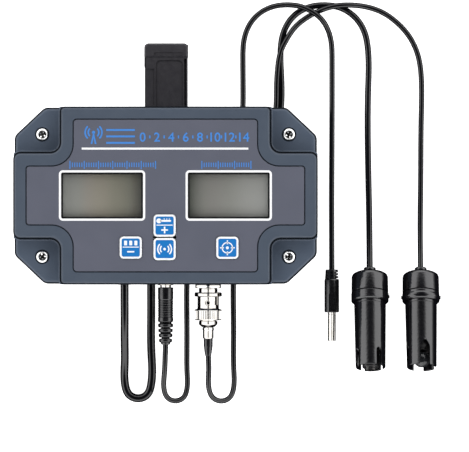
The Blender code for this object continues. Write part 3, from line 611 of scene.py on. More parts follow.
def makeRowTree():
    # bars in a row along X, with a longer one at regular places
    tree, maker, given = startTree("rowOfBars", [
        ("Count", "Int", 10), ("Spacing", "Float", 0.001), ("Bar Size", "Vector", (0.001, 0.001, 0.001)),
        ("Long Every", "Int", 5), ("Long Stretch", "Float", 1.0), ("Material", "Material", None),
    ])
    step = maker.node("ShaderNodeCombineXYZ", {}, {"X": given["Spacing"]})
    points = maker.node("GeometryNodeMeshLine", {"mode": "OFFSET"}, {"Count": given["Count"], "Offset": step})
    bar = maker.node("GeometryNodeMeshCube", {}, {"Size": given["Bar Size"]})
    index = maker.node("GeometryNodeInputIndex")
    isLong = (index % given["Long Every"]) < 0.5
    stretch = maker.node("ShaderNodeCombineXYZ", {}, {
        "X": 1.0, "Y": isLong * (given["Long Stretch"] - 1.0) + 1.0, "Z": 1.0,
    })
    placed = maker.node(
        "GeometryNodeInstanceOnPoints", {}, {"Points": points, "Instance": bar, "Scale": stretch}
    )
    endTree(maker, placed, given["Material"])
    return tree


def makeRingTree():
    # ridges round Z, each a bar turned on its edge
    tree, maker, given = startTree("ringOfRidges", [
        ("Count", "Int", 36), ("Radius", "Float", 0.007), ("Ridge Size", "Vector", (0.001, 0.001, 0.001)),
        ("Ridge Turn", "Float", math.pi / 4), ("Material", "Material", None),
    ])
    points = maker.node("GeometryNodeMeshCircle", {}, {"Vertices": given["Count"], "Radius": given["Radius"]})
    bar = maker.node("GeometryNodeMeshCube", {}, {"Size": given["Ridge Size"]})
    onEdge = maker.node("ShaderNodeCombineXYZ", {}, {"Z": given["Ridge Turn"]})
    ridge = maker.node("GeometryNodeTransform", {}, {"Geometry": bar, "Rotation": onEdge})
    index = maker.node("GeometryNodeInputIndex")
    turn = maker.node("ShaderNodeCombineXYZ", {}, {"Z": index * (2 * math.pi) / given["Count"]})
    placed = maker.node(
        "GeometryNodeInstanceOnPoints", {}, {"Points": points, "Instance": ridge, "Rotation": turn}
    )
    endTree(maker, placed, given["Material"])
    return tree


def makeSpotTree():
    # copies of a piece at marked spots, each turned as its spot says
    tree, maker, given = startTree("copiesAtSpots", [
        ("Spots", "Object", None), ("Piece", "Object", None), ("Material", "Material", None),
    ])
    spots = maker.node("GeometryNodeObjectInfo", {}, {"Object": given["Spots"]}, output="Geometry")
    piece = maker.node("GeometryNodeObjectInfo", {}, {"Object": given["Piece"]}, output="Geometry")
    turn = maker.node("GeometryNodeInputNamedAttribute", {"data_type": "FLOAT_VECTOR"}, {"Name": "turn"})
    placed = maker.node(
        "GeometryNodeInstanceOnPoints", {}, {"Points": spots, "Instance": piece, "Rotation": turn}
    )
    endTree(maker, placed, given["Material"])
    return tree


trees = {"row": makeRowTree(), "ring": makeRingTree(), "spots": makeSpotTree()}


def grow(name, tree, values, finish, seat=Matrix()):
    # runs a tree once and keeps its result as a plain mesh in its place
    made = newObject(name, bpy.data.meshes.new(name))
    modifier = made.modifiers.new("grow", "NODES")
    modifier.node_group = trees[tree]
    values = {**values, "Material": finishes[finish]}
    for socket in trees[tree].interface.items_tree:
        if socket.in_out == "INPUT" and socket.name in values:
            modifier[socket.identifier] = values[socket.name]
    settle(made)
    inMetres = Matrix.Translation(seat.translation * mm) @ seat.to_3x3().to_4x4()
    made.data.transform(inMetres)
    return made


def bars(name, count, spacing, size, finish, seat, longEvery=1, longStretch=1.0):
    # a row of bars along the seat's X
    values = {
        "Count": count, "Spacing": spacing * mm, "Bar Size": tuple(side * mm for side in size),
        "Long Every": longEvery, "Long Stretch": longStretch,
    }
    return grow(name, "row", values, finish, seat)


def copyTo(name, source, places, turns, finish):
    # places in millimetres, turns about Z in radians
    spots = newObject("spots", bpy.data.meshes.new("spots"))
    spots.data.from_pydata([Vector(p) * mm for p in places], [], [])
    turn = spots.data.attributes.new("turn", "FLOAT_VECTOR", "POINT")
    turn.data.foreach_set("vector", [value for angle in turns for value in (0, 0, angle)])
    made = grow(name, "spots", {"Spots": spots, "Piece": source}, finish)
    bpy.data.objects.remove(spots)
    bpy.data.objects.remove(source)
    return shadeRound(made)


# ---- places ----
corners = [(sx, sy) for sy in (1, -1) for sx in (1, -1)]
caseMiddle = middle("front_cover")
face = Matrix.Translation((caseMiddle.x, caseMiddle.y, 0))  # the case's own frame, z from the table
caseSize = high("front_cover") - low("front_cover")
overlayTop = high("face_overlay").z


def fourPlaces(node):
    # x and y, from the case's middle, of the four screws or the four feet
    spot = middle(node)
    return [(sx * spot.x, sy * (spot.y - caseMiddle.y)) for sx, sy in corners]


def lying(node):
    # a frame whose Z runs out of the case's lower side along a connector's axis
    spot = middle(node)
    return Matrix.Translation((spot.x, low("rear_cover").y, spot.z)) @ Matrix.Rotation(quarter, 4, "X")


def probeSeat(joint, along):
    # a frame at the probe's upper end whose Z is the probe's axis
    found = next(j for j in frame["joints"] if j["name"] == joint)
    axis = Vector(found["axis"]).normalized()
    start = Vector(found["pos_m"]) / mm - axis * along
    across = Vector((1, 0, 0))
    turn = Matrix((across, axis.cross(across), axis)).transposed()
    return Matrix.Translation(start) @ turn.to_4x4()


# ---- camera, floor and light: lengths in metres, the camera's sensor in millimetres ----
camera = {"centre": (0.0349, -0.0254), "level": 0.02, "distance": 2.5, "frameWidth": 0.2386, "sensor": 36.0}
ground = {"reach": 6.0, "level": -0.0002, "tone": 0.90, "rough": 0.9}
light = {  # the sky's brightness by height, from straight below (-1) through the horizon to overhead (1)
    "strength": 2.3, "floorGlow": 1.0, "steps": (
        (-1.0, 0.0), (-0.35, 0.02), (-0.2, 0.12), (0.0, 0.7), (0.08, 1.0),
        (0.66, 1.0), (0.74, 0.3), (0.79, 0.05), (0.85, 0.01), (1.0, 0.0),
    ),
}
lamps = {  # a pair of soft boxes overhead, for bright metal only, with a dark gap between them
    "across": 0.75, "long": 2.0, "gap": 0.26, "height": 1.0, "power": 9.0, "seenBy": None,
}


def makeStage():
    data = bpy.data.cameras.new("camera")
    data.sensor_width = camera["sensor"]
    data.lens = data.sensor_width * camera["distance"] / camera["frameWidth"]
    data.clip_start, data.clip_end = 0.05, 50.0
    eye = newObject("camera", data)
    eye.location = (*camera["centre"], camera["level"] + camera["distance"])
    bpy.context.scene.camera = eye
    bpy.context.scene.view_settings.view_transform = "Standard"

    world = bpy.data.worlds.new("studio")
    world.use_nodes = True
    bpy.context.scene.world = world
    maker = Maker(world.node_tree)
    way = maker.node("ShaderNodeTexCoord", output="Generated")
    bands = [((height + 1) / 2, (tone, tone, tone * 1.01, 1)) for height, tone in light["steps"]]
    background = world.node_tree.nodes["Background"].inputs
    maker.give(background["Color"], maker.ramp(bands, maker.along(way, "Z") * 0.5 + 0.5))
    background["Strength"].default_value = light["strength"]

    lamps["seenBy"] = bpy.data.collections.new("nickelPieces")
    for side in (-1, 1):
        data = bpy.data.lights.new("softBox", "AREA")
        data.shape, data.energy = "RECTANGLE", lamps["power"]
        data.size, data.size_y = lamps["across"], lamps["long"]
        box = newObject("softBox", data)
        out = side * (lamps["gap"] + lamps["across"]) / 2
        box.location = (camera["centre"][0] + out, 0, lamps["height"])
        box.visible_camera = False
        box.light_linking.receiver_collection = lamps["seenBy"]

    floor = newObject("floor", bpy.data.meshes.new("floor"))
    reach = ground["reach"]
    outline = [(x * reach, y * reach, ground["level"]) for x, y in ((-1, -1), (1, -1), (1, 1), (-1, 1))]
    floor.data.from_pydata(outline, [], [(0, 1, 2, 3)])
    material, _, shader = startMaterial("paleFloor")
    shader["Base Color"].default_value = (*[ground["tone"]] * 3, 1)
    shader["Roughness"].default_value = ground["rough"]
    shader["Emission Color"].default_value = (1, 1, 1, 1)
    shader["Emission Strength"].default_value = light["floorGlow"]
    floor.data.materials.append(material)
    floor.visible_glossy = floor.visible_diffuse = False  # so that round pieces keep their dark edges


makeStage()
print("stage set")


# ---- leads: each route listed, x and y from the case's centre and z from the table ----
leads = {
    "ecLead": {
        "node": "ec_cord", "radius": 1.6, "sleeve": 2.1, "sleeveEnd": -22.0, "route": [
            (-21.1, -42.0, 16.8), (-21.1, -45.6, 16.8), (-21.1, -52.0, 16.6),
            (-21.1, -62.0, 15.0), (-21.2, -74.0, 10.6),
            (-21.3, -86.0, 5.2), (-21.1, -97.0, 2.4), (-19.2, -101.7, 2.2), (-14.5, -103.7, 2.2),
            (-9.8, -101.7, 2.2), (-7.9, -97.0, 2.2), (-7.7, -80.0, 2.2), (-7.8, -62.0, 2.2),
            (-7.8, -46.0, 2.2), (-7.0, -36.0, 2.3), (-3.0, -27.0, 2.3), (4.5, -18.5, 2.1),
            (13.5, -10.5, 2.6), (24.3, -1.0, 4.9), (35.0, 8.5, 2.7), (44.5, 17.5, 1.7),
            (52.5, 27.0, 1.7), (57.2, 37.0, 1.7), (58.9, 48.0, 1.7), (58.8, 62.0, 1.7),
            (58.5, 74.0, 1.7), (59.3, 81.0, 1.7), (62.6, 89.0, 1.7), (68.5, 94.7, 1.7),
            (75.0, 97.2, 1.7), (82.5, 97.7, 1.7), (89.5, 96.3, 1.7), (96.0, 92.2, 1.7),
            (101.0, 85.2, 1.7), (103.2, 76.0, 1.7), (103.4, 55.0, 1.7), (103.2, 30.0, 1.7),
            (103.6, 6.0, 1.7), (103.9, -10.0, 1.9), (104.0, -25.0, 4.5), (104.0, -36.4, 8.1),
        ],
    },
    "powerLead": {
        "node": "power_cord", "radius": 1.4, "route": [
            (-0.2, -74.6, 16.8), (-0.2, -76.1, 16.8), (-0.4, -82.0, 16.4),
            (-0.8, -90.0, 14.2), (-1.0, -99.1, 10.9),
            (0.7, -103.1, 9.4), (4.8, -104.8, 8.0), (8.8, -103.1, 6.6), (10.5, -99.1, 5.2),
            (10.6, -90.0, 2.7), (10.5, -80.0, 1.6), (10.5, -66.0, 1.5), (10.4, -52.0, 1.5),
            (10.8, -40.0, 1.5), (13.2, -26.0, 1.5), (18.2, -12.0, 1.5), (24.5, 0.0, 1.5),
            (31.0, 13.0, 1.5), (36.2, 27.0, 1.5), (38.8, 40.0, 1.5), (39.3, 54.0, 1.5),
            (39.2, 70.0, 1.5), (40.0, 81.0, 1.5), (43.6, 89.3, 1.6), (49.4, 94.7, 2.1),
            (55.6, 97.2, 3.1), (62.1, 97.8, 4.5), (68.7, 96.9, 5.9), (74.0, 94.6, 6.6),
            (78.4, 91.4, 6.1), (82.2, 86.2, 4.0), (84.5, 78.5, 2.0), (84.9, 70.0, 1.5),
            (84.9, 50.0, 1.5), (84.8, 20.0, 1.5), (84.7, -5.0, 1.6), (84.7, -18.0, 2.4),
            (84.7, -30.0, 3.7), (84.7, -37.4, 3.8), (84.7, -39.4, 3.8),
        ],
    },
    "phLead": {
        "node": "ph_cord", "radius": 1.4, "route": [
            (21.6, -80.2, 16.8), (21.6, -81.7, 16.8), (21.8, -88.0, 16.2),
            (21.9, -98.5, 13.2), (23.8, -102.9, 11.4),
            (28.2, -104.8, 9.6), (32.6, -102.9, 7.8), (34.4, -98.5, 6.1), (34.5, -88.0, 2.9),
            (34.4, -78.0, 1.6), (34.4, -62.0, 1.5), (34.3, -48.0, 1.5), (34.8, -36.0, 1.5),
            (37.0, -22.0, 1.5), (41.0, -6.0, 1.5), (45.6, 8.0, 2.4), (49.8, 20.0, 4.6),
            (53.2, 30.0, 5.0), (55.2, 38.0, 4.8), (56.3, 47.0, 4.2), (56.5, 57.0, 4.3),
            (57.1, 66.0, 4.8), (58.8, 74.5, 5.1), (61.8, 80.5, 4.6), (66.0, 86.5, 2.8),
            (71.4, 91.0, 2.0), (78.2, 94.7, 3.6), (86.0, 97.1, 5.1), (94.5, 97.7, 4.1),
            (102.3, 96.9, 2.0), (110.0, 94.4, 1.5), (117.5, 89.4, 1.5), (124.4, 81.8, 1.5),
            (129.0, 71.8, 1.5), (130.6, 61.0, 1.5), (130.6, 40.0, 1.5), (130.3, 6.0, 1.5),
            (130.1, -10.0, 1.8), (130.0, -25.0, 4.5), (130.0, -36.4, 8.1),
        ],
    },
}
laying = {"spacing": 1.1, "clearance": 0.1, "sleeveBelow": 5.0}  # a sleeve ends where its lead lies under this


def smoothRoute(route, spacing, lowest):
    # points a fixed distance apart along the cubic spline through a route, none under a height
    points = np.array(route)
    knots = np.concatenate([[0.0], np.cumsum(np.linalg.norm(np.diff(points, axis=0), axis=1))])
    gaps = np.diff(knots)
    slopes = np.diff(points, axis=0) / gaps[:, None]
    system, right = np.eye(len(points)), np.zeros_like(points)
    for i in range(1, len(points) - 1):
        system[i, i - 1 : i + 2] = gaps[i - 1], 2 * (gaps[i - 1] + gaps[i]), gaps[i]
        right[i] = 6 * (slopes[i] - slopes[i - 1])
    bends = np.linalg.solve(system, right)
    places = np.linspace(0, knots[-1], 4000)
    span = np.clip(np.searchsorted(knots, places, side="right") - 1, 0, len(gaps) - 1)
    near = ((knots[span + 1] - places) / gaps[span])[:, None]
    far = 1 - near
    fine = near * points[span] + far * points[span + 1] + (gaps[span] ** 2 / 6)[:, None] * (
        (near**3 - near) * bends[span] + (far**3 - far) * bends[span + 1]
    )
    fine[:, 2] = np.maximum(fine[:, 2], lowest)
    run = np.concatenate([[0.0], np.cumsum(np.linalg.norm(np.diff(fine, axis=0), axis=1))])
    even = np.linspace(0, run[-1], round(run[-1] / spacing) + 1)
    return np.stack([np.interp(even, run, fine[:, axis]) for axis in range(3)], axis=1), run[-1]


def sweep(name, points, radii, finish, seat=Matrix(), sides=20):
    # a closed tube along points, its rings carried along without twist
    points = [Vector(p) for p in points]
    normal = Vector((0, 0, 1))
    verts, faces = [], []
    for i, (here, radius) in enumerate(zip(points, radii)):
        ahead = points[min(i + 1, len(points) - 1)] - points[max(i - 1, 0)]
        ahead.normalize()
        if abs(ahead.dot(normal)) > 0.999:
            normal = Vector((1, 0, 0))
        normal = (normal - ahead * ahead.dot(normal)).normalized()
        other = ahead.cross(normal)
        for k in range(sides):
            angle = 2 * math.pi * k / sides
            verts.append(here + (normal * math.cos(angle) + other * math.sin(angle)) * radius)
    for i in range(len(points) - 1):
        for k in range(sides):
            j = (k + 1) % sides
            faces.append([i * sides + k, i * sides + j, (i + 1) * sides + j, (i + 1) * sides + k])
    faces.append(list(range(sides)))
    faces.append([(len(points) - 1) * sides + k for k in range(sides)])
    return shadeRound(solid(name, verts, faces, finish, seat))


def makeLead(name):
    lead = leads[name]
    radius = lead["radius"]
    points, length = smoothRoute(lead["route"], laying["spacing"], radius + laying["clearance"])
    radii = [radius] * len(points)
    if "sleeve" in lead:
        lying = points[:, 2] < laying["sleeveBelow"]
        end = int(np.argmax(lying & (points[:, 1] > lead["sleeveEnd"])))
        radii = [lead["sleeve"]] * end + [radius] * (len(points) - end)
    tube = sweep(name, points, radii, "cableJacket", face)
    dress(tube, "meter", "cable_jacket", lead["node"])
    path = [(face @ Vector(p)) * mm for p in points]
    return tube, path, length * mm


# ---- the case ----
case = {
    "chamferAcross": 15.5, "chamferDown": 14.6, "chamferRound": 5.0, "wall": 2.4, "ledgeInset": 0.4,
    "ledgeRound": 2.0, "faceRound": 1.9, "footFillet": 1.1, "ledge": 30.6, "ledgeUnder": 28.2,
    "faceUnder": 35.5, "armAcross": 53.3, "armDown": 21.9, "baseRound": 2.2, "overlayGap": 0.38,
    "recess": 0.7, "seatRadius": 3.45, "seatDepth": 2.0, "overlayArm": 14.6, "overlayBody": 46.3,
}
display = {"across": 41.4, "down": 23.3, "round": 0.9, "lineOut": 1.1, "shadedBezel": 0.95}
key = {
    "side": 11.2, "round": 2.0, "rim": 1.0, "dish": 0.18, "gap": 0.25, "flange": 1.2,
    "names": ("mode", "temp", "wireless", "cal"),
}


def caseOutline():
    x, y = caseSize.x / 2, caseSize.y / 2
    r = case["chamferRound"]
    return fourQuadrants([(x, y - case["chamferDown"], r), (x - case["chamferAcross"], y, r)])


def crossOutline():
    x, y = caseSize.x / 2, caseSize.y / 2
    return fourQuadrants([
        (x, case["armDown"], 3.6), (case["armAcross"], case["armDown"], 5.0), (case["armAcross"], y, 2.4),
    ])


def overlayOutline():
    size = (high("face_overlay") - low("face_overlay")) / 2
    arm, body = case["overlayArm"], case["overlayBody"]
    return fourQuadrants([(size.x, arm, 1.2), (body, arm, 11.3), (body, size.y, 1.6)])


def keyPlace(name):
    spot = middle("button_" + name)
    return spot.x - caseMiddle.x, spot.y - caseMiddle.y


def displayPlace(side):
    return middle("display_lens_" + side).x - caseMiddle.x


def openings(gap, bottom, top):
    # the ways through the face for the keys; the two keys that stand close share one
    side, radius = key["side"] + 2 * gap, key["round"] + gap
    shapes = [moved(rectangle(side, side, radius), *keyPlace(name)) for name in ("mode", "cal")]
    (x, upper), (_, lower) = keyPlace("temp"), keyPlace("wireless")
    shapes.append(moved(rectangle(side, side + upper - lower, radius), x, (upper + lower) / 2))
    return [prism("opening", shape, bottom, top, None, face) for shape in shapes]


def windows(grow, radius, bottom, top):
    shape = rectangle(display["across"] + grow, display["down"] + grow, radius)
    return [
        prism("window", moved(shape, displayPlace(side), 0), bottom, top, None, face)
        for side in ("left", "right")
    ]


def makeFrontShell():
    # a moulded tray with a ledge all round, and a cross-shaped face raised on it
    outline, cross = caseOutline(), crossOutline()
    bottom, top = low("front_cover").z, high("front_cover").z
    ledge, fillet, faceRound = case["ledge"], case["footFillet"], case["faceRound"]
    shell = prism(
        "frontShell", inset(outline, case["ledgeInset"]), bottom, ledge, "caseMoulded", face,
        edge=case["ledgeRound"], foot=0.25,
    )
    layers = [(0.0, bottom + 0.05), (0.0, ledge - 0.4), (-fillet, ledge - 0.35)]
    layers += [
        (-fillet * (1 - math.sin(quarter * k / 6)), ledge + fillet * (1 - math.cos(quarter * k / 6)))
        for k in range(7)
    ]
    layers += [
        (faceRound * (1 - math.cos(quarter * k / 8)), top - faceRound * (1 - math.sin(quarter * k / 8)))
        for k in range(9)
    ]
    raised = loft("raised", [(roundedLine(inset(cross, d)), z) for d, z in layers], None, face)
    combine(raised, "INTERSECT", prism("trim", inset(outline, -0.02), bottom - 1, top + 1, None, face))
    join(shell, raised)
    recessFloor = top - case["recess"]
    gap = -case["overlayGap"]
    overlay = overlayOutline()
    recess = loft("recess", [
        (roundedLine(inset(overlay, d)), z)
        for d, z in ((gap, recessFloor), (gap, top - 0.22), (gap - 0.25, top + 0.02), (gap - 0.25, top + 1))
    ], None, face)
    channel = prism("channel", inset(overlay, gap), recessFloor - case["recess"], top, None, face)
    cut(channel, prism("middle", inset(overlay, 0.15), recessFloor - 1, top + 1, None, face))
    hollow = prism("hollow", inset(outline, case["wall"]), bottom - 1, case["ledgeUnder"], None, face)
    under = prism("under", inset(cross, case["wall"]), bottom - 1, case["faceUnder"], None, face)
    tools = [hollow, under, channel, recess, *windows(1.0, 1.2, 30, 40), *openings(0.35, 30, 40)]
    radius, depth = case["seatRadius"], case["seatDepth"]
    seat = [
        (ledge - depth, 0, 0), (ledge - depth, radius, 0), (ledge - 0.2, radius, 0),
        (ledge + 0.05, radius + 0.25, 0), (ledge + 2, radius + 0.25, 0), (ledge + 2, 0, 0),
    ]
    for place in fourPlaces("case_screw_1"):
        tools.append(turned("seat", seat, None, face @ Matrix.Translation((*place, 0)), 48))
    cut(shell, *tools)
    soften(shell, 0)
    return dress(shell, "meter", "case_plastic", "front_cover")


def makeRearShell():
    outline = inset(caseOutline(), 0.25)
    bottom, top = low("foot_1").z + 8.0, high("case_gasket").z - 1.2
    shell = prism(
        "rearShell", outline, bottom, top, "caseMoulded", face, edge=0.25, foot=case["baseRound"], steps=6
    )
    cut(shell, prism("hollow", inset(outline, case["wall"]), bottom + case["wall"], top + 1, None, face))
    outlets = (("cable_grommet", 3.9), ("power_inlet", 4.2), ("bnc_jack", 4.9))
    sockets = [rod("outlet", radius, -4, 3, lying(node)) for node, radius in outlets]
    for place in fourPlaces("foot_1"):
        seat = face @ Matrix.Translation((*place, 0))
        sockets.append(rod("footSeat", 6.0, bottom - 1, bottom + 0.5, seat))
    plateSeat = moved(rectangle(46, 20, 2), -42, -8)
    sockets.append(prism("plateSeat", plateSeat, bottom - 1, bottom + 0.3, None, face))
    cut(shell, *sockets)
    join(shell, *makeRails())
    soften(shell, 0)
    return dress(shell, "meter", "case_plastic", "rear_cover")


def makeRails():
    # the two rails that the hanger slides in, along Y
    rail = {"from": -44.0, "to": -8.0, "section": [
        (9.3, 3.0, 0.4), (13.9, 3.0, 0.7), (13.9, 9.0, 0), (11.4, 9.0, 0), (11.4, 4.5, 0.2), (9.3, 4.5, 0.3),
    ]}
    made = []
    seat = face @ Matrix.Rotation(quarter, 4, "X")
    for side in (1, -1):
        line = roundedLine([(side * x, z, r) for x, z, r in rail["section"]][::side])
        made.append(loft("rail", [(line, rail["from"]), (line, rail["to"])], None, seat))
    return made


def makeScrews():
    head = {"radius": 3.0, "rise": 1.25, "slot": 0.62, "slotReach": 1.75, "depth": 1.0}
    turns = [0.35, 1.05, 0.7, 0.15]
    level = high("case_screw_1").z + 0.02
    r, rise = head["radius"], head["rise"]
    screw = turned("screw", [
        (-rise - 6, 0, 0), (-rise - 6, 1.45, 0), (-rise, 1.45, 0), (-rise, r, 0.18),
        (-rise * 0.55, r, 0.5), (-0.12, r * 0.62, 2.5), (0, 0, 0),
    ], "brightSteel", sides=48, step=8)
    for turn in (0, quarter):
        arm = loft("arm", [
            (roundedLine(rectangle(2 * head["slotReach"] * s, head["slot"] * (0.5 + s / 2), 0)), z)
            for s, z in ((0.45, -head["depth"]), (1.0, -0.25), (1.0, 1.0))
        ], None, Matrix.Rotation(turn, 4, "Z"))
        cut(screw, arm)
    places = [(x, caseMiddle.y + y, level) for x, y in fourPlaces("case_screw_1")]
    made = copyTo("caseScrews", screw, places, turns, "brightSteel")
    return dress(made, "meter", "screw_steel", *(f"case_screw_{i}" for i in range(1, 5)))


def makeFeet():
    height, radius = high("foot_1").z, 5.5
    foot = turned("foot", [
        (0, 0, 0), (0, 2.2, 0), (0.5, 2.6, 0.2), (0.5, 3.6, 0.2), (0, 4.0, 0), (0, radius - 0.3, 0.5),
        (height * 0.55, radius, 1.0), (height + 0.3, radius + 0.2, 0), (height + 0.3, 0, 0),
    ], "sealRubber", sides=48)
    places = [(x, caseMiddle.y + y, 0) for x, y in fourPlaces("foot_1")]
    made = copyTo("rubberFeet", foot, places, [0, 0, 0, 0], "sealRubber")
    return dress(made, "meter", "seal_rubber", *(f"foot_{i}" for i in range(1, 5)))


# ---- the face ----
ink = {"thick": 0.04, "floor": overlayTop - 0.01}


def makeOverlay():
    bottom = low("face_overlay").z
    film = prism(
        "overlayFilm", overlayOutline(), bottom, overlayTop, "overlayFilm", face, edge=0.12, steps=2, step=5
    )
    ends = bottom - 1, overlayTop + 1
    cut(film, *windows(0, display["round"], *ends), *openings(key["gap"], *ends))
    soften(film, 0)
    return dress(film, "meter", "overlay_film", "face_overlay")


def printed(name, corners, finish):
    return prism(name, corners, ink["floor"], ink["floor"] + ink["thick"], finish, face)


def makeDisplays():
    for side in ("left", "right"):
        x = displayPlace(side)
        window = moved(rectangle(display["across"], display["down"], display["round"]), x, 0)
        frameLine = printed(f"displayLine_{side}", inset(window, -display["lineOut"]), "inkWhite")
        cut(frameLine, prism("window", window, 30, 40, None, face))
        dress(frameLine, "meter", "overlay_film")
        bottom = low("display_lens_" + side).z
        # a black frame under the lens: partly the display's bezel, partly a painted shadow where the deep
        # window shades the display's edge
        shadedBezel = prism(
            f"displayBezel_{side}", inset(window, -0.1), bottom - 0.14, bottom - 0.04, "switchBlack", face
        )
        cut(shadedBezel, prism("window", inset(window, display["shadedBezel"]), 30, 40, None, face))
        dress(shadedBezel, "meter", "switch_black")
        glassTop = high("display_glass_" + side).z
        crystal = prism(
            f"displayCrystal_{side}", inset(window, -0.5), glassTop - 0.02, glassTop + 0.18,
            "displayCrystal", face, edge=0.05, steps=2,
        )
        dress(crystal, "meter", "display_grey")


def makeHeader():
    line = {"from": -42.3, "to": 41.9, "y": 23.7, "thick": 1.0}
    stripe = {"from": -29.9, "to": -15.4, "y": 26.6, "spacing": 3.25, "thick": 1.0, "count": 3}
    strip = rectangle(line["to"] - line["from"], line["thick"], 0.2)
    strip = moved(strip, (line["from"] + line["to"]) / 2, line["y"])
    dress(printed("headerLine", strip, "inkWhite"), "meter", "overlay_film")
    width = stripe["to"] - stripe["from"]
    place = Matrix.Translation((stripe["from"] + width / 2, stripe["y"], overlayTop))
    size = (stripe["thick"], width, 2 * ink["thick"])
    seat = face @ place @ Matrix.Rotation(quarter, 4, "Z")
    stripes = bars("headerBars", stripe["count"], stripe["spacing"], size, "inkBlue", seat)
    dress(stripes, "meter", "overlay_film")


def signParts(x, y, size, floor, finish):
    # a sender's sign: a dot with arcs on both sides
    sign = {"dot": 0.17 * size, "line": 0.17 * size, "rings": (0.46 * size, 0.78 * size), "spread": 46}
    seat = face @ Matrix.Translation((x, y, 0))
    top = floor + ink["thick"]
    section = [(floor, 0, 0), (floor, sign["dot"], 0), (top, sign["dot"], 0), (top, 0, 0)]
    parts = [turned("dot", section, finish, seat, 32)]
    for way in (90, 270):
        ends = way - sign["spread"], way + sign["spread"]
        for ring in sign["rings"]:
            parts.append(sector("arc", ring, ring + sign["line"], *ends, floor, top, finish, seat))
    return parts


def makeHeaderSign():
    spot = {"x": -36.3, "y": 31.9, "size": 4.9}
    mast = [
        (0.35, 0.0, 0), (-0.35, 0.0, 0), (-1.5, -5.2, 0), (-0.6, -5.2, 0),
        (0, -2.2, 0), (0.6, -5.2, 0), (1.5, -5.2, 0),
    ]
    parts = signParts(spot["x"], spot["y"], spot["size"], ink["floor"], "inkBlue")
    parts.append(printed("mast", moved(mast, spot["x"], spot["y"] - 0.7), "inkBlue"))
    dress(merged("headerSign", parts), "meter", "overlay_film")


def makeNumbers():
    # a plain scale of even numbers, with a dot between each pair
    scale = {"from": -11.5, "to": 39.2, "y": 27.3, "height": 4.6, "dot": 0.7, "numbers": range(0, 15, 2)}
    count = len(scale["numbers"])
    parts = []
    for i, number in enumerate(scale["numbers"]):
        text = bpy.data.curves.new("number", "FONT")
        text.body, text.size, text.align_x = str(number), scale["height"] * 1.4 * mm, "CENTER"
        text.offset, text.extrude = 0.00010, ink["thick"] * mm / 2
        text.resolution_u = 6
        carrier = newObject("number", text)
        graph = bpy.context.evaluated_depsgraph_get()
        mesh = bpy.data.meshes.new_from_object(carrier.evaluated_get(graph))
        bpy.data.objects.remove(carrier)
        x = scale["from"] + (scale["to"] - scale["from"]) * i / (count - 1)
        place = face @ Vector((x, scale["y"], overlayTop))
        mesh.transform(Matrix.Translation(place * mm))
        mesh.materials.clear()
        mesh.materials.append(finishes["inkBlue"])
        parts.append(newObject("number", mesh))
    dress(merged("scaleNumbers", parts), "meter", "overlay_film")
    step = (scale["to"] - scale["from"]) / (count - 1)
    seat = face @ Matrix.Translation((scale["from"] + step / 2, scale["y"] + scale["height"] / 2, overlayTop))
    size = (scale["dot"], scale["dot"], 2 * ink["thick"])
    dots = bars("scaleDots", count - 1, step, size, "inkBlue", seat, longStretch=2.2)
    dress(dots, "meter", "overlay_film")


def makeTicks():
    # a graduated scale over each display
    scales = (("ticksLeft", -48.2, -5.0, 37, 6), ("ticksRight", 18.4, 43.2, 22, 7))
    size = (0.5, 2.3, 2 * ink["thick"])
    for name, start, end, count, longEvery in scales:
        spacing = (end - start) / (count - 1)
        seat = face @ Matrix.Translation((start, 15.5, overlayTop))
        ticks = bars(name, count, spacing, size, "inkBlue", seat, longEvery, longStretch=1.75)
        dress(ticks, "meter", "overlay_film")


# ---- keys ----
def makeKeys():
    top = high("button_mode").z
    side, radius, rim = key["side"], key["round"], key["rim"]
    for name in key["names"]:
        x, y = keyPlace(name)
        body = "key_" + name
        outline = rectangle(side, side, radius)
        bottom = low("button_" + name).z
        cap = prism(f"keyCap_{name}", moved(outline, x, y), bottom, top, "keyWhite", face, edge=0.3, steps=4)
        dish = prism("dish", moved(inset(outline, rim), x, y), top - key["dish"], top + 1, None, face)
        across, down = side / 2 + key["flange"], side / 2 - 0.1
        ends = (x - across, y - down, bottom), (x + across, y + down, bottom + 0.7)
        flange = block("flange", *ends, None, face)
        cut(cap, dish)
        join(cap, flange)
        soften(cap, 0)
        dress(cap, body, "key_blue", "button_" + name)
        floor = top - key["dish"] - 0.02
        padOutline = moved(inset(outline, rim + 0.03), x, y)
        pad = prism(
            f"keyFace_{name}", padOutline, floor, floor + 0.12, "keyBlue", face, edge=0.05, steps=2
        )
        dress(pad, body, "key_blue")
        signs = keySigns(name, x, y, floor + 0.11)
        dress(merged(f"keySign_{name}", signs), body, "key_blue")


def plate(x, y, width, height, floor, radius=0.12):
    corners = moved(rectangle(width, height, radius), x, y)
    return prism("plate", corners, floor, floor + ink["thick"], "keyWhite", face, step=30)


def circle(x, y, outer, inner, floor):
    seat = face @ Matrix.Translation((x, y, 0))
    top = floor + ink["thick"]
    section = [(floor, inner, 0), (floor, outer, 0), (top, outer, 0), (top, inner, 0)]
    return turned("circle", section, "keyWhite", seat, 40, ring=True)


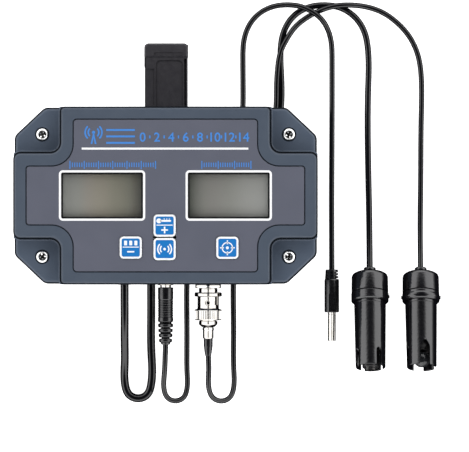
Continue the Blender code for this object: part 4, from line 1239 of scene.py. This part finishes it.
def keySigns(name, x, y, floor):
    if name == "wireless":
        return signParts(x, y, 4.0, floor, "keyWhite")
    if name == "cal":  # a target: two rings and cross lines
        parts = [circle(x, y, 2.9, 2.35, floor), circle(x, y, 0.75, 0.1, floor)]
        for dx, dy in ((1, 0), (-1, 0), (0, 1), (0, -1)):
            size = (2.0, 0.6) if dx else (0.6, 2.0)
            parts.append(plate(x + dx * 2.75, y + dy * 2.75, *size, floor))
        return parts
    parts = [plate(x, y + 0.25, 8.2, 0.45, floor)]
    if name == "mode":  # three steps over a minus
        parts += [plate(x + dx, y + 2.3, 1.5, 2.4, floor, 0.3) for dx in (-2.6, 0, 2.6)]
        parts.append(plate(x, y - 2.1, 3.6, 0.75, floor))
        return parts
    # a thermometer lying down over a plus
    parts += [plate(x + 0.5, y + 2.4, 5.6, 0.95, floor, 0.45), circle(x - 2.9, y + 2.4, 1.25, 0.1, floor)]
    parts += [plate(x - 0.2 + i * 1.3, y + 3.35, 0.35, 0.7, floor) for i in range(3)]
    parts += [plate(x, y - 2.2, 3.4, 0.75, floor), plate(x, y - 2.2, 0.75, 3.4, floor + 0.001)]
    return parts


for lead in leads:
    leads[lead]["made"] = makeLead(lead)
print("leads laid")
makeFrontShell()
makeRearShell()
makeScrews()
makeFeet()
print("case made")
makeOverlay()
makeDisplays()
makeHeader()
makeHeaderSign()
makeNumbers()
makeTicks()
makeKeys()
print("face made")


# ---- hanger ----
hanger = {
    "bottom": 4.8, "capStep": 0.4, "ridges": (-5.7, 8.9), "fluteFoot": 9.0, "hinge": (74.0, 2.5),
    "clipHalf": 8.5, "clipReach": -39.0, "pinHalf": 10.9, "pinRadius": 0.8,
}
hinge = face @ Matrix.Translation((0, *hanger["hinge"]))
sideways = Matrix.Rotation(quarter, 4, "Y")


def makeStrap():
    # a flat strap with a fluted back and a rounded cap, seen above the case
    lowest, tall = low("hanger_strap").y - caseMiddle.y, high("hanger_strap").y - caseMiddle.y
    cap = (high("hanger_strap").x - low("hanger_strap").x) / 2
    half, bottom, headTop = cap - 0.25, hanger["bottom"], high("hanger_strap").z
    top = headTop - hanger["capStep"]
    outline = [
        (cap, 71.0, 0), (cap, tall, 2.2), (-cap, tall, 2.2), (-cap, 66.3, 0.5), (-half, 65.2, 0.5),
        (-half, lowest, 1.0), (half, lowest, 1.0), (half, 70.6, 0),
    ]
    strap = prism("hangerStrap", outline, bottom, top, "hangerNylon", face)
    head = [
        (cap - 0.05, 70.6, 0.5), (cap - 0.05, tall - 0.05, 2.2),
        (-cap + 0.05, tall - 0.05, 2.2), (-cap + 0.05, 70.6, 0.5),
    ]
    join(strap, prism("head", head, bottom + 0.5, headTop, None, face, edge=1.0, steps=6))
    for side in (1, -1):
        inner, outer = sorted((side * 8.9, side * (cap - 0.05)))
        ends = (inner, 70.8, 0.7), (outer, tall - 0.6, bottom + 0.6)
        join(strap, block("ear", *ends, None, face, edge=0.3))
    (left, right), foot = hanger["ridges"], hanger["fluteFoot"]
    dish = [
        (right - 0.35, 69.4, 2.5), (left + 0.35, 69.4, 2.5),
        (left + 0.35, foot, 0.5), (right - 0.35, foot, 0.5),
    ]
    shallow = moved(rectangle(15.0, 1.5, 0.7), 1.4, 72.6)
    cut(
        strap,
        prism("panel", dish, top - 0.55, top + 1, None, face),
        block("groove", (right + 0.3, foot, top - 1.6), (right + 1.3, 70.2, top + 1), None, face),
        block("leftStep", (-cap - 1, foot, top - 0.4), (left - 0.4, 65.0, top + 1), None, face),
        block("leftEdge", (-cap - 1, foot, top - 1.9), (-cap + 0.85, 71.0, top + 1), None, face),
        prism("capShallow", shallow, headTop - 0.25, headTop + 1, None, face),
        rod("bore", 0.9, -20, 20, hinge @ sideways),
    )
    soften(strap, 0.2, angle=50)
    return dress(strap, "hanger", "hanger_black", "hanger_strap")


def makeClip():
    half, reach, pin = hanger["clipHalf"], hanger["clipReach"], hanger["pinHalf"]
    plate = [(half, 0, 0), (-half, 0, 0), (-half, reach, 2.0), (half, reach, 2.0)]
    arm = prism("clipArm", plate, -2.0, -0.2, "hangerNylon", hinge, edge=0.25, steps=2)
    join(arm, rod("knuckle", 1.9, -half, half, hinge @ sideways))
    seat = hinge @ Matrix.Translation((0, reach + 2.8, 0.45)) @ Matrix.Rotation(quarter, 4, "Z")
    row = bars("teeth", 4, 2.4, (1.15, 13.0, 1.15), "hangerNylon", seat)
    turnTeeth(row)
    join(arm, row)
    for x in (-4.5, 0, 4.5):  # ribs moulded under the arm
        join(arm, block("rib", (x - 0.5, reach + 14, -0.3), (x + 0.5, -4, 0.35), None, hinge, edge=0.15))
    bore = rod("bore", 1.0, -half - 1, half + 1, hinge @ sideways)
    cut(arm, bore, block("bay", (-3.2, -2.4, -5), (3.2, 5, 5), None, hinge))
    soften(arm, 0.08, angle=50)
    dress(arm, "clip", "hanger_black", "clip_arm")

    radius = hanger["pinRadius"]
    section = [(-pin, 0, 0), (-pin, radius, 0.25), (pin, radius, 0.25), (pin, 0, 0)]
    bolt = turned("clipPin", section, "brightSteel", hinge @ sideways, 32)
    dress(bolt, "hanger", "screw_steel", "clip_pin")
    spring = {"wire": 0.28, "coil": 1.35, "rounds": 3, "reach": 2.4, "points": 28}
    out, coil, steps = spring["reach"], spring["coil"], spring["rounds"] * spring["points"]
    route = [(-out, -7.5, 1.75)]
    for step in range(steps + 1):
        angle = quarter - 2 * math.pi * step / spring["points"]
        route.append((-out + 2 * out * step / steps, coil * math.cos(angle), coil * math.sin(angle)))
    route.append((out, -7.5, 0.35))
    coiled = sweep("clipSpring", route, [spring["wire"]] * len(route), "brightSteel", hinge, sides=12)
    dress(coiled, "hanger", "screw_steel", "clip_spring")


def turnTeeth(row):
    # each tooth stands on its edge: the row's bars are turned about their own length
    count = len(row.data.vertices) // 8
    for tooth in range(count):
        ends = row.data.vertices[tooth * 8 : tooth * 8 + 8]
        centre = sum((v.co for v in ends), Vector()) / 8
        turn = Matrix.Translation(centre) @ Matrix.Rotation(math.pi / 4, 4, "X") @ Matrix.Translation(-centre)
        for v in ends:
            v.co = turn @ v.co


# ---- what leaves the case's lower side ----
def makeOutlets():
    grommet = turned("cableGrommet", [
        (-4.0, 2.55, 0), (-4.0, 5.0, 0.2), (-2.7, 5.0, 0.2), (-2.7, 3.5, 0.15),
        (0.3, 3.5, 0.35), (0.3, 2.55, 0.3),
    ], "sealRubber", lying("cable_grommet"), 48, ring=True)
    dress(grommet, "meter", "seal_rubber", "cable_grommet")

    seat = lying("power_inlet")
    inlet = turned("powerInlet", [
        (-7.5, 0, 0), (-7.5, 4.8, 0.1), (-2.7, 4.8, 0.1), (-2.7, 3.9, 0.1), (0.5, 3.9, 0.15),
        (0.5, 2.75, 0.1), (11.0, 2.75, 0.5), (11.0, 0, 0),
    ], "nickelPlate", seat, 48)
    dress(inlet, "meter", "connector_nickel", "power_inlet")
    grip = {"from": 8.0, "count": 8, "pitch": 1.2, "outer": 3.9, "depth": 0.22}
    relief = {"from": 19.9, "count": 4, "pitch": 2.55, "outer": 3.85, "inner": 2.9}
    rim, groove = grip["outer"], grip["outer"] - grip["depth"]
    section = [(1.7, 3.05, 0), (1.7, rim, 0.35), (7.7, rim, 0.1)]
    for i in range(grip["count"]):
        at = grip["from"] + grip["pitch"] * i
        section += [(at, groove, 0.12), (at + 0.35, groove, 0.12)]
        section += [(at + 0.55, rim, 0.15), (at + 1.0, rim, 0.15)]
    section += [(19.0, rim, 0.4), (19.5, 3.0, 0.25)]
    for i in range(relief["count"]):
        at = relief["from"] + relief["pitch"] * i
        outer, inner = relief["outer"] - 0.16 * i, relief["inner"] - 0.15 * i
        section += [(at, inner, 0.1), (at + 0.35, outer, 0.55)]
        section += [(at + 1.85, outer, 0.55), (at + 2.2, inner, 0.1)]
    section += [(30.8, 2.2, 0.3), (30.8, 1.2, 0), (12.0, 1.2, 0), (11.6, 3.05, 0)]
    plug = turned("powerConnector", section, "plugVinyl", seat, 56, ring=True)
    for i in range(relief["count"]):  # the strain relief's windows, a quarter turn on from ring to ring
        at = relief["from"] - 0.35 + relief["pitch"] * i
        for side in (0, 1):
            turn = seat @ Matrix.Rotation(math.pi * side + quarter * (i % 2), 4, "Z")
            cut(plug, block("opening", (-1.7, 2.0, at), (1.7, 5.0, at + 0.7), None, turn))
    soften(plug, 0)
    dress(plug, "meter", "plug_black", "power_connector")


def makeBnc():
    seat = lying("bnc_jack")
    slot = {"at": 9.5, "half": 1.12, "turn": 50, "rest": 1.55, "inner": 4.4, "outer": 7.6, "mouth": 3.0}
    jack = turned("bncJack", [
        (-8.0, 2.0, 0), (-8.0, 5.7, 0.2), (-2.7, 5.7, 0.2), (-2.7, 4.6, 0.1), (2.3, 4.6, 0.1),
        (2.5, 4.75, 0.1), (12.9, 4.75, 0.25), (12.9, 4.1, 0.2), (4.0, 4.1, 0), (4.0, 2.0, 0),
    ], "nickelPlate", seat, 56, ring=True)
    lug = [(3.0, 0, 0), (3.0, 1.0, 0), (5.35, 1.0, 0.15), (5.35, 0, 0)]
    for side in (1, -1):  # the lugs that the coupling's slots hold
        way = seat @ Matrix.Translation((0, 0, slot["at"])) @ Matrix.Rotation(-side * quarter, 4, "X")
        join(jack, turned("lug", lug, None, way, 24))
    soften(jack, 0)
    dress(jack, "meter", "connector_nickel", "bnc_jack")

    flat = 6.55
    outer = flat / math.cos(math.pi / 6)
    angles = [-math.pi / 3 * i for i in range(6)]
    hexagon = [(outer * math.sin(angle), outer * math.cos(angle), 0.5) for angle in angles]
    nut = prism("bncNut", hexagon, 0.2, 2.0, "nickelPlate", seat, edge=0.2, foot=0.2, steps=3)
    chamfer = [
        (-1.0, 0, 0), (-1.0, flat + 0.25, 0), (1.45, flat + 0.75, 0), (2.2, flat - 0.05, 0), (2.2, 0, 0),
    ]
    combine(nut, "INTERSECT", turned("chamfer", chamfer, None, seat, 64))
    cut(nut, rod("bore", 4.9, -1, 3.0, seat))
    soften(nut, 0)
    dress(nut, "meter", "connector_nickel", "bnc_jack_nut")

    sleeve = turned("bncSleeve", [
        (4.2, 4.95, 0.1), (4.2, 6.75, 0.3), (4.75, 6.95, 0.1), (6.25, 6.95, 0.45), (6.35, 5.45, 0.35),
        (12.6, 5.45, 0.6), (12.85, 6.7, 0.3), (13.35, 6.95, 0.1), (17.9, 6.95, 0.1), (18.4, 6.6, 0.15),
        (18.4, 4.4, 0.1), (13.4, 4.4, 0), (13.4, 4.95, 0),
    ], "nickelPlate", seat, 72, ring=True)
    # each slot: level as far as the nut turns, with a round rest at one end and the mouth at the other
    half, inner, outer = slot["half"], slot["inner"], slot["outer"]
    for first in (0, 180):
        last = first + slot["turn"]
        level = slot["at"] - half, slot["at"] + half
        cut(sleeve, sector("slot", inner, outer, first, last, *level, None, seat))
        here = seat @ Matrix.Rotation(-math.radians(first), 4, "Z") @ Matrix.Translation((0, 0, slot["at"]))
        cut(sleeve, rod("rest", slot["rest"], 4.0, outer, here @ Matrix.Rotation(-quarter, 4, "X")))
        way = seat @ Matrix.Rotation(-math.radians(last), 4, "Z")
        top = slot["at"] + half - 0.02
        cut(sleeve, block("mouth", (-half, inner, slot["mouth"]), (half, outer, top), None, way))
    soften(sleeve, 0)
    ridges = {"count": 40, "from": 13.5, "to": 17.85, "radius": 6.95, "side": 0.62}
    knurl = grow("knurl", "ring", {
        "Count": ridges["count"], "Radius": (ridges["radius"] - 0.08) * mm, "Ridge Turn": math.pi / 4,
        "Ridge Size": (ridges["side"] * mm, ridges["side"] * mm, (ridges["to"] - ridges["from"]) * mm),
    }, "nickelPlate", seat @ Matrix.Translation((0, 0, (ridges["from"] + ridges["to"]) / 2)))
    coupling = merged("bncCoupling", [sleeve, knurl])
    dress(coupling, "bnc_nut", "connector_nickel", "bnc_coupling_nut")

    body = turned("bncPlugBody", [
        (4.4, 0, 0), (4.4, 3.4, 0.1), (4.8, 3.7, 0.1), (13.3, 3.7, 0), (13.3, 4.1, 0), (18.7, 4.1, 0),
        (18.7, 4.75, 0.3), (20.5, 4.75, 0.5), (21.8, 3.3, 0.3), (21.8, 0, 0),
    ], "nickelPlate", seat, 56)
    dress(body, "meter", "connector_nickel", "bnc_plug_body")
    ferrule = turned("bncFerrule", [
        (21.9, 0, 0), (21.9, 2.75, 0.1), (22.5, 2.95, 0.2), (23.3, 2.95, 0.2),
        (23.6, 2.75, 0.2), (27.3, 2.75, 0.3), (27.8, 2.45, 0.15), (27.8, 0, 0),
    ], "nickelPlate", seat, 48)
    dress(ferrule, "meter", "connector_nickel", "bnc_ferrule")
    boot = turned("bncBoot", [
        (27.7, 0, 0), (27.7, 2.1, 0.2), (28.0, 2.35, 0.2), (31.5, 2.3, 4.0),
        (34.8, 1.85, 3.0), (36.5, 1.6, 0.15), (36.5, 0, 0),
    ], "plugVinyl", seat, 40)
    dress(boot, "meter", "boot_black", "bnc_boot")


def makeSupplyPlug():
    spot = middle("supply_plug_body")
    start = Matrix.Translation((spot.x, high("supply_plug_body").y, spot.z))
    seat = start @ Matrix.Rotation(quarter, 4, "X")
    section = [
        (0.0, 0.9, 0), (0.0, 3.15, 0.2), (4.8, 3.45, 0.3), (5.4, 3.72, 0.6), (21.9, 3.75, 0.5),
        (21.9, 2.35, 0.1), (16.8, 2.35, 0), (16.8, 0.9, 0),
    ]
    body = turned("supplyPlug", section, "plugVinyl", seat, 56, ring=True)
    for i in range(3):
        at = 1.35 + 1.5 * i
        cut(body, sector("groove", 2.45, 4.5, -60, 170, at, at + 0.5, None, seat))
    soften(body, 0)
    # raised on the side that faces up: an arch that is open to the barrel
    upright = seat @ Matrix.Rotation(-quarter, 4, "X") @ Matrix.Scale(-1, 4, (0, 1, 0))
    arch = {"half": 1.65, "from": 11.6, "to": 21.6, "round": 1.64, "line": 0.38, "bottom": 2.9, "top": 3.95}
    half, begin, end = arch["half"], arch["from"], arch["to"]
    shape = [(half, end, 0), (-half, end, 0), (-half, begin, arch["round"]), (half, begin, arch["round"])]
    raised = prism("arch", shape, arch["bottom"], arch["top"], "plugVinyl", upright)
    cut(raised, prism("archInside", inset(shape, arch["line"]), 2.0, 4.5, None, upright))
    body = merged("supplyPlug", [body, soften(raised, 0.08)])
    dress(body, "meter", "plug_black", "supply_plug_body")
    barrel = turned("supplyBarrel", [
        (17.1, 0.95, 0), (17.1, 2.05, 0), (22.6, 2.05, 0.05), (22.7, 1.95, 0.05),
        (22.9, 1.95, 0.05), (23.0, 2.05, 0.05), (36.6, 2.05, 0.35), (36.6, 0.95, 0.25),
    ], "nickelPlate", seat, 48, ring=True)
    dress(barrel, "meter", "connector_nickel", "supply_plug_barrel")


# ---- probes ----
probe = {
    "collarMiddle": 16.15, "flare": 0.36, "head": [
        (2.35, 0, 0), (2.35, 3.2, 0.1), (2.6, 5.2, 1.5), (3.2, 7.4, 2.0), (4.0, 8.8, 1.0), (5.1, 9.28, 1.0),
        (13.45, 9.38, 0.15), (13.45, 6.4, 0), (18.0, 6.4, 0), (18.0, 0, 0),
    ],
    "collar": [
        (13.75, 8.4, 0), (13.75, 9.3, 0.15), (14.1, 9.52, 0.15), (18.0, 9.5, 0.3),
        (18.6, 8.9, 0.2), (18.6, 8.4, 0),
    ],
    "bead": [
        (13.75, 8.4, 0), (13.75, 9.3, 0.15), (14.1, 9.5, 0.15), (15.2, 9.5, 0.3), (15.8, 9.72, 0.6),
        (16.8, 9.72, 0.6), (17.3, 9.5, 0.3), (18.0, 9.5, 0.3), (18.6, 8.9, 0.2), (18.6, 8.4, 0),
    ],
    "guard": [
        (13.85, 6.75, 0), (13.85, 8.1, 0), (19.6, 8.1, 0), (19.75, 8.0, 0.1),
        (20.0, 8.0, 0.1), (20.15, 8.1, 0.1), (53.2, 7.62, 0.5), (53.2, 6.5, 0.3),
    ],
}


def makeProbe(name, opening, flared, firstAngle, collarSection, lugs):
    # what the two probes share, in a frame whose Z runs from the lead to the tip
    seat = probeSeat(f"{name}_collar_twist", probe["collarMiddle"])
    gland = turned(f"{name}Gland", [
        (0, 0, 0), (0, 2.2, 0.2), (0.35, 3.05, 0.3), (1.5, 3.05, 0.3), (2.15, 2.8, 0), (2.15, 0, 0),
    ], "plugVinyl", seat, 40)
    dress(gland, "meter", "probe_black", f"{name}_probe_gland")
    head = turned(f"{name}Head", probe["head"], "probePlastic", seat, 96, step=8)
    dress(head, "meter", "probe_black", f"{name}_probe_head")
    collar = turned(f"{name}Collar", probe[collarSection], "probePlastic", seat, 96, ring=True)
    for angle in lugs:
        turn = seat @ Matrix.Rotation(math.radians(-angle), 4, "Z")
        join(collar, block("lug", (-0.7, 8.9, 15.4), (0.7, 10.1, 16.9), None, turn, edge=0.25))
    soften(collar, 0)
    dress(collar, f"{name}_collar", "probe_black", f"{name}_probe_collar")
    guard = turned(f"{name}Guard", probe["guard"], "probePlastic", seat, 120, ring=True)
    layers = [(opening, 4.0), (opening, 7.66 - probe["flare"]), (flared, 7.95), (flared, 12.0)]
    layers = [(roundedLine(outline, step=8), z) for outline, z in layers]
    for i in range(4):
        way = seat @ Euler((-quarter, math.pi, -math.radians(firstAngle) - quarter * i)).to_matrix().to_4x4()
        cut(guard, loft("slot", layers, None, way))
    soften(guard, 0)
    dress(guard, "meter", "probe_black", f"{name}_probe_guard")
    return seat


def makeEcProbe():
    half, top, flare = 1.35, 44.3, probe["flare"]
    opening, flared = (
        [(x, 60, 0), (-x, 60, 0), (-x, y, x * 0.995), (x, y, x * 0.995)]
        for x, y in ((half, top), (half + flare, top - flare))
    )
    seat = makeProbe("ec", opening, flared, 33, "collar", [78])
    cell = turned("ecCell", [
        (18.3, 0, 0), (18.3, 5.2, 0.2), (44.6, 5.2, 0.6), (45.4, 4.2, 0.3), (53.3, 4.2, 0.5), (53.3, 0, 0),
    ], "electrodeDark", seat, 48)
    places = [seat @ Matrix.Translation((1.7 * sx, 1.7 * sy, 0)) for sx, sy in corners]
    pins = [rod("pin", 0.62, 53.0, 53.65, place, 20) for place in places]
    for pin in pins:
        pin.data.materials.append(finishes["tinPlate"])
    dress(cell, "meter", "probe_black", "ec_probe_electrode")
    dress(merged("ecPins", pins), "meter", "screw_steel")


def makePhProbe():
    half, top, spring, flare = 2.6, 39.9, 43.3, probe["flare"]
    opening = [(half, 60, 0), (-half, 60, 0), (-half, spring, 3.0), (0, top, 0.5), (half, spring, 3.0)]
    wide = half + flare
    flared = [
        (wide, 60, 0), (-wide, 60, 0), (-wide, spring - 0.2, 3.3),
        (0, top - flare - 0.25, 0.6), (wide, spring - 0.2, 3.3),
    ]
    seat = makeProbe("ph", opening, flared, 12, "bead", [88, -88])
    stem = turned("phStem", [
        (18.3, 0, 0), (18.3, 5.4, 0.2), (42.4, 5.4, 0.7), (43.5, 4.6, 0.5), (44.6, 4.2, 0.3), (44.6, 0, 0),
    ], "electrodeDark", seat, 48)
    dress(stem, "meter", "probe_black", "ph_probe_electrode")
    bulb = {"middle": 48.8, "radius": 4.2, "core": 1.3, "neck": 152, "steps": 18}
    section = [(bulb["middle"] - bulb["radius"] * 0.9, 0, 0)]
    for k in range(bulb["steps"] + 1):
        angle = math.radians(bulb["neck"] * (1 - k / bulb["steps"]))
        reach = bulb["radius"] * math.sin(angle)
        section.append((bulb["middle"] + bulb["radius"] * math.cos(angle), reach, 0))
    glass = turned("phBulb", section, "bulbGlass", seat, 56)
    dress(glass, "meter", "probe_glass", "ph_probe_bulb")
    core = turned("phCore", [
        (44.7, 0, 0), (44.7, bulb["core"], 0.2), (50.0, bulb["core"] * 0.7, 0.6), (50.6, 0, 0),
    ], "electrodeDark", seat, 24)
    dress(core, "meter", "probe_black")


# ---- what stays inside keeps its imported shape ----
inside = {
    "main_board": "boardGreen", "wireless_module": "tinPlate", "input_shield": "tinPlate",
    "case_gasket": "sealRubber", "switch_mode": "switchBlack", "switch_temp": "switchBlack",
    "switch_wireless": "switchBlack", "switch_cal": "switchBlack",
    "display_glass_left": "displayCrystal", "display_glass_right": "displayCrystal",
    "display_lens_left": "clearLens", "display_lens_right": "clearLens",
}


def dressInside():
    for node, finish in inside.items():
        piece = frame["nodes"][node]
        piece.data.materials.clear()
        piece.data.materials.append(finishes[finish])


makeStrap()
makeClip()
print("hanger made")
makeOutlets()
makeBnc()
makeSupplyPlug()
print("connectors made")
makeEcProbe()
makePhProbe()
print("probes made")
dressInside()


for piece in bpy.data.objects:
    if piece.type == "MESH" and finishes["nickelPlate"] in list(piece.data.materials):
        lamps["seenBy"].objects.link(piece)
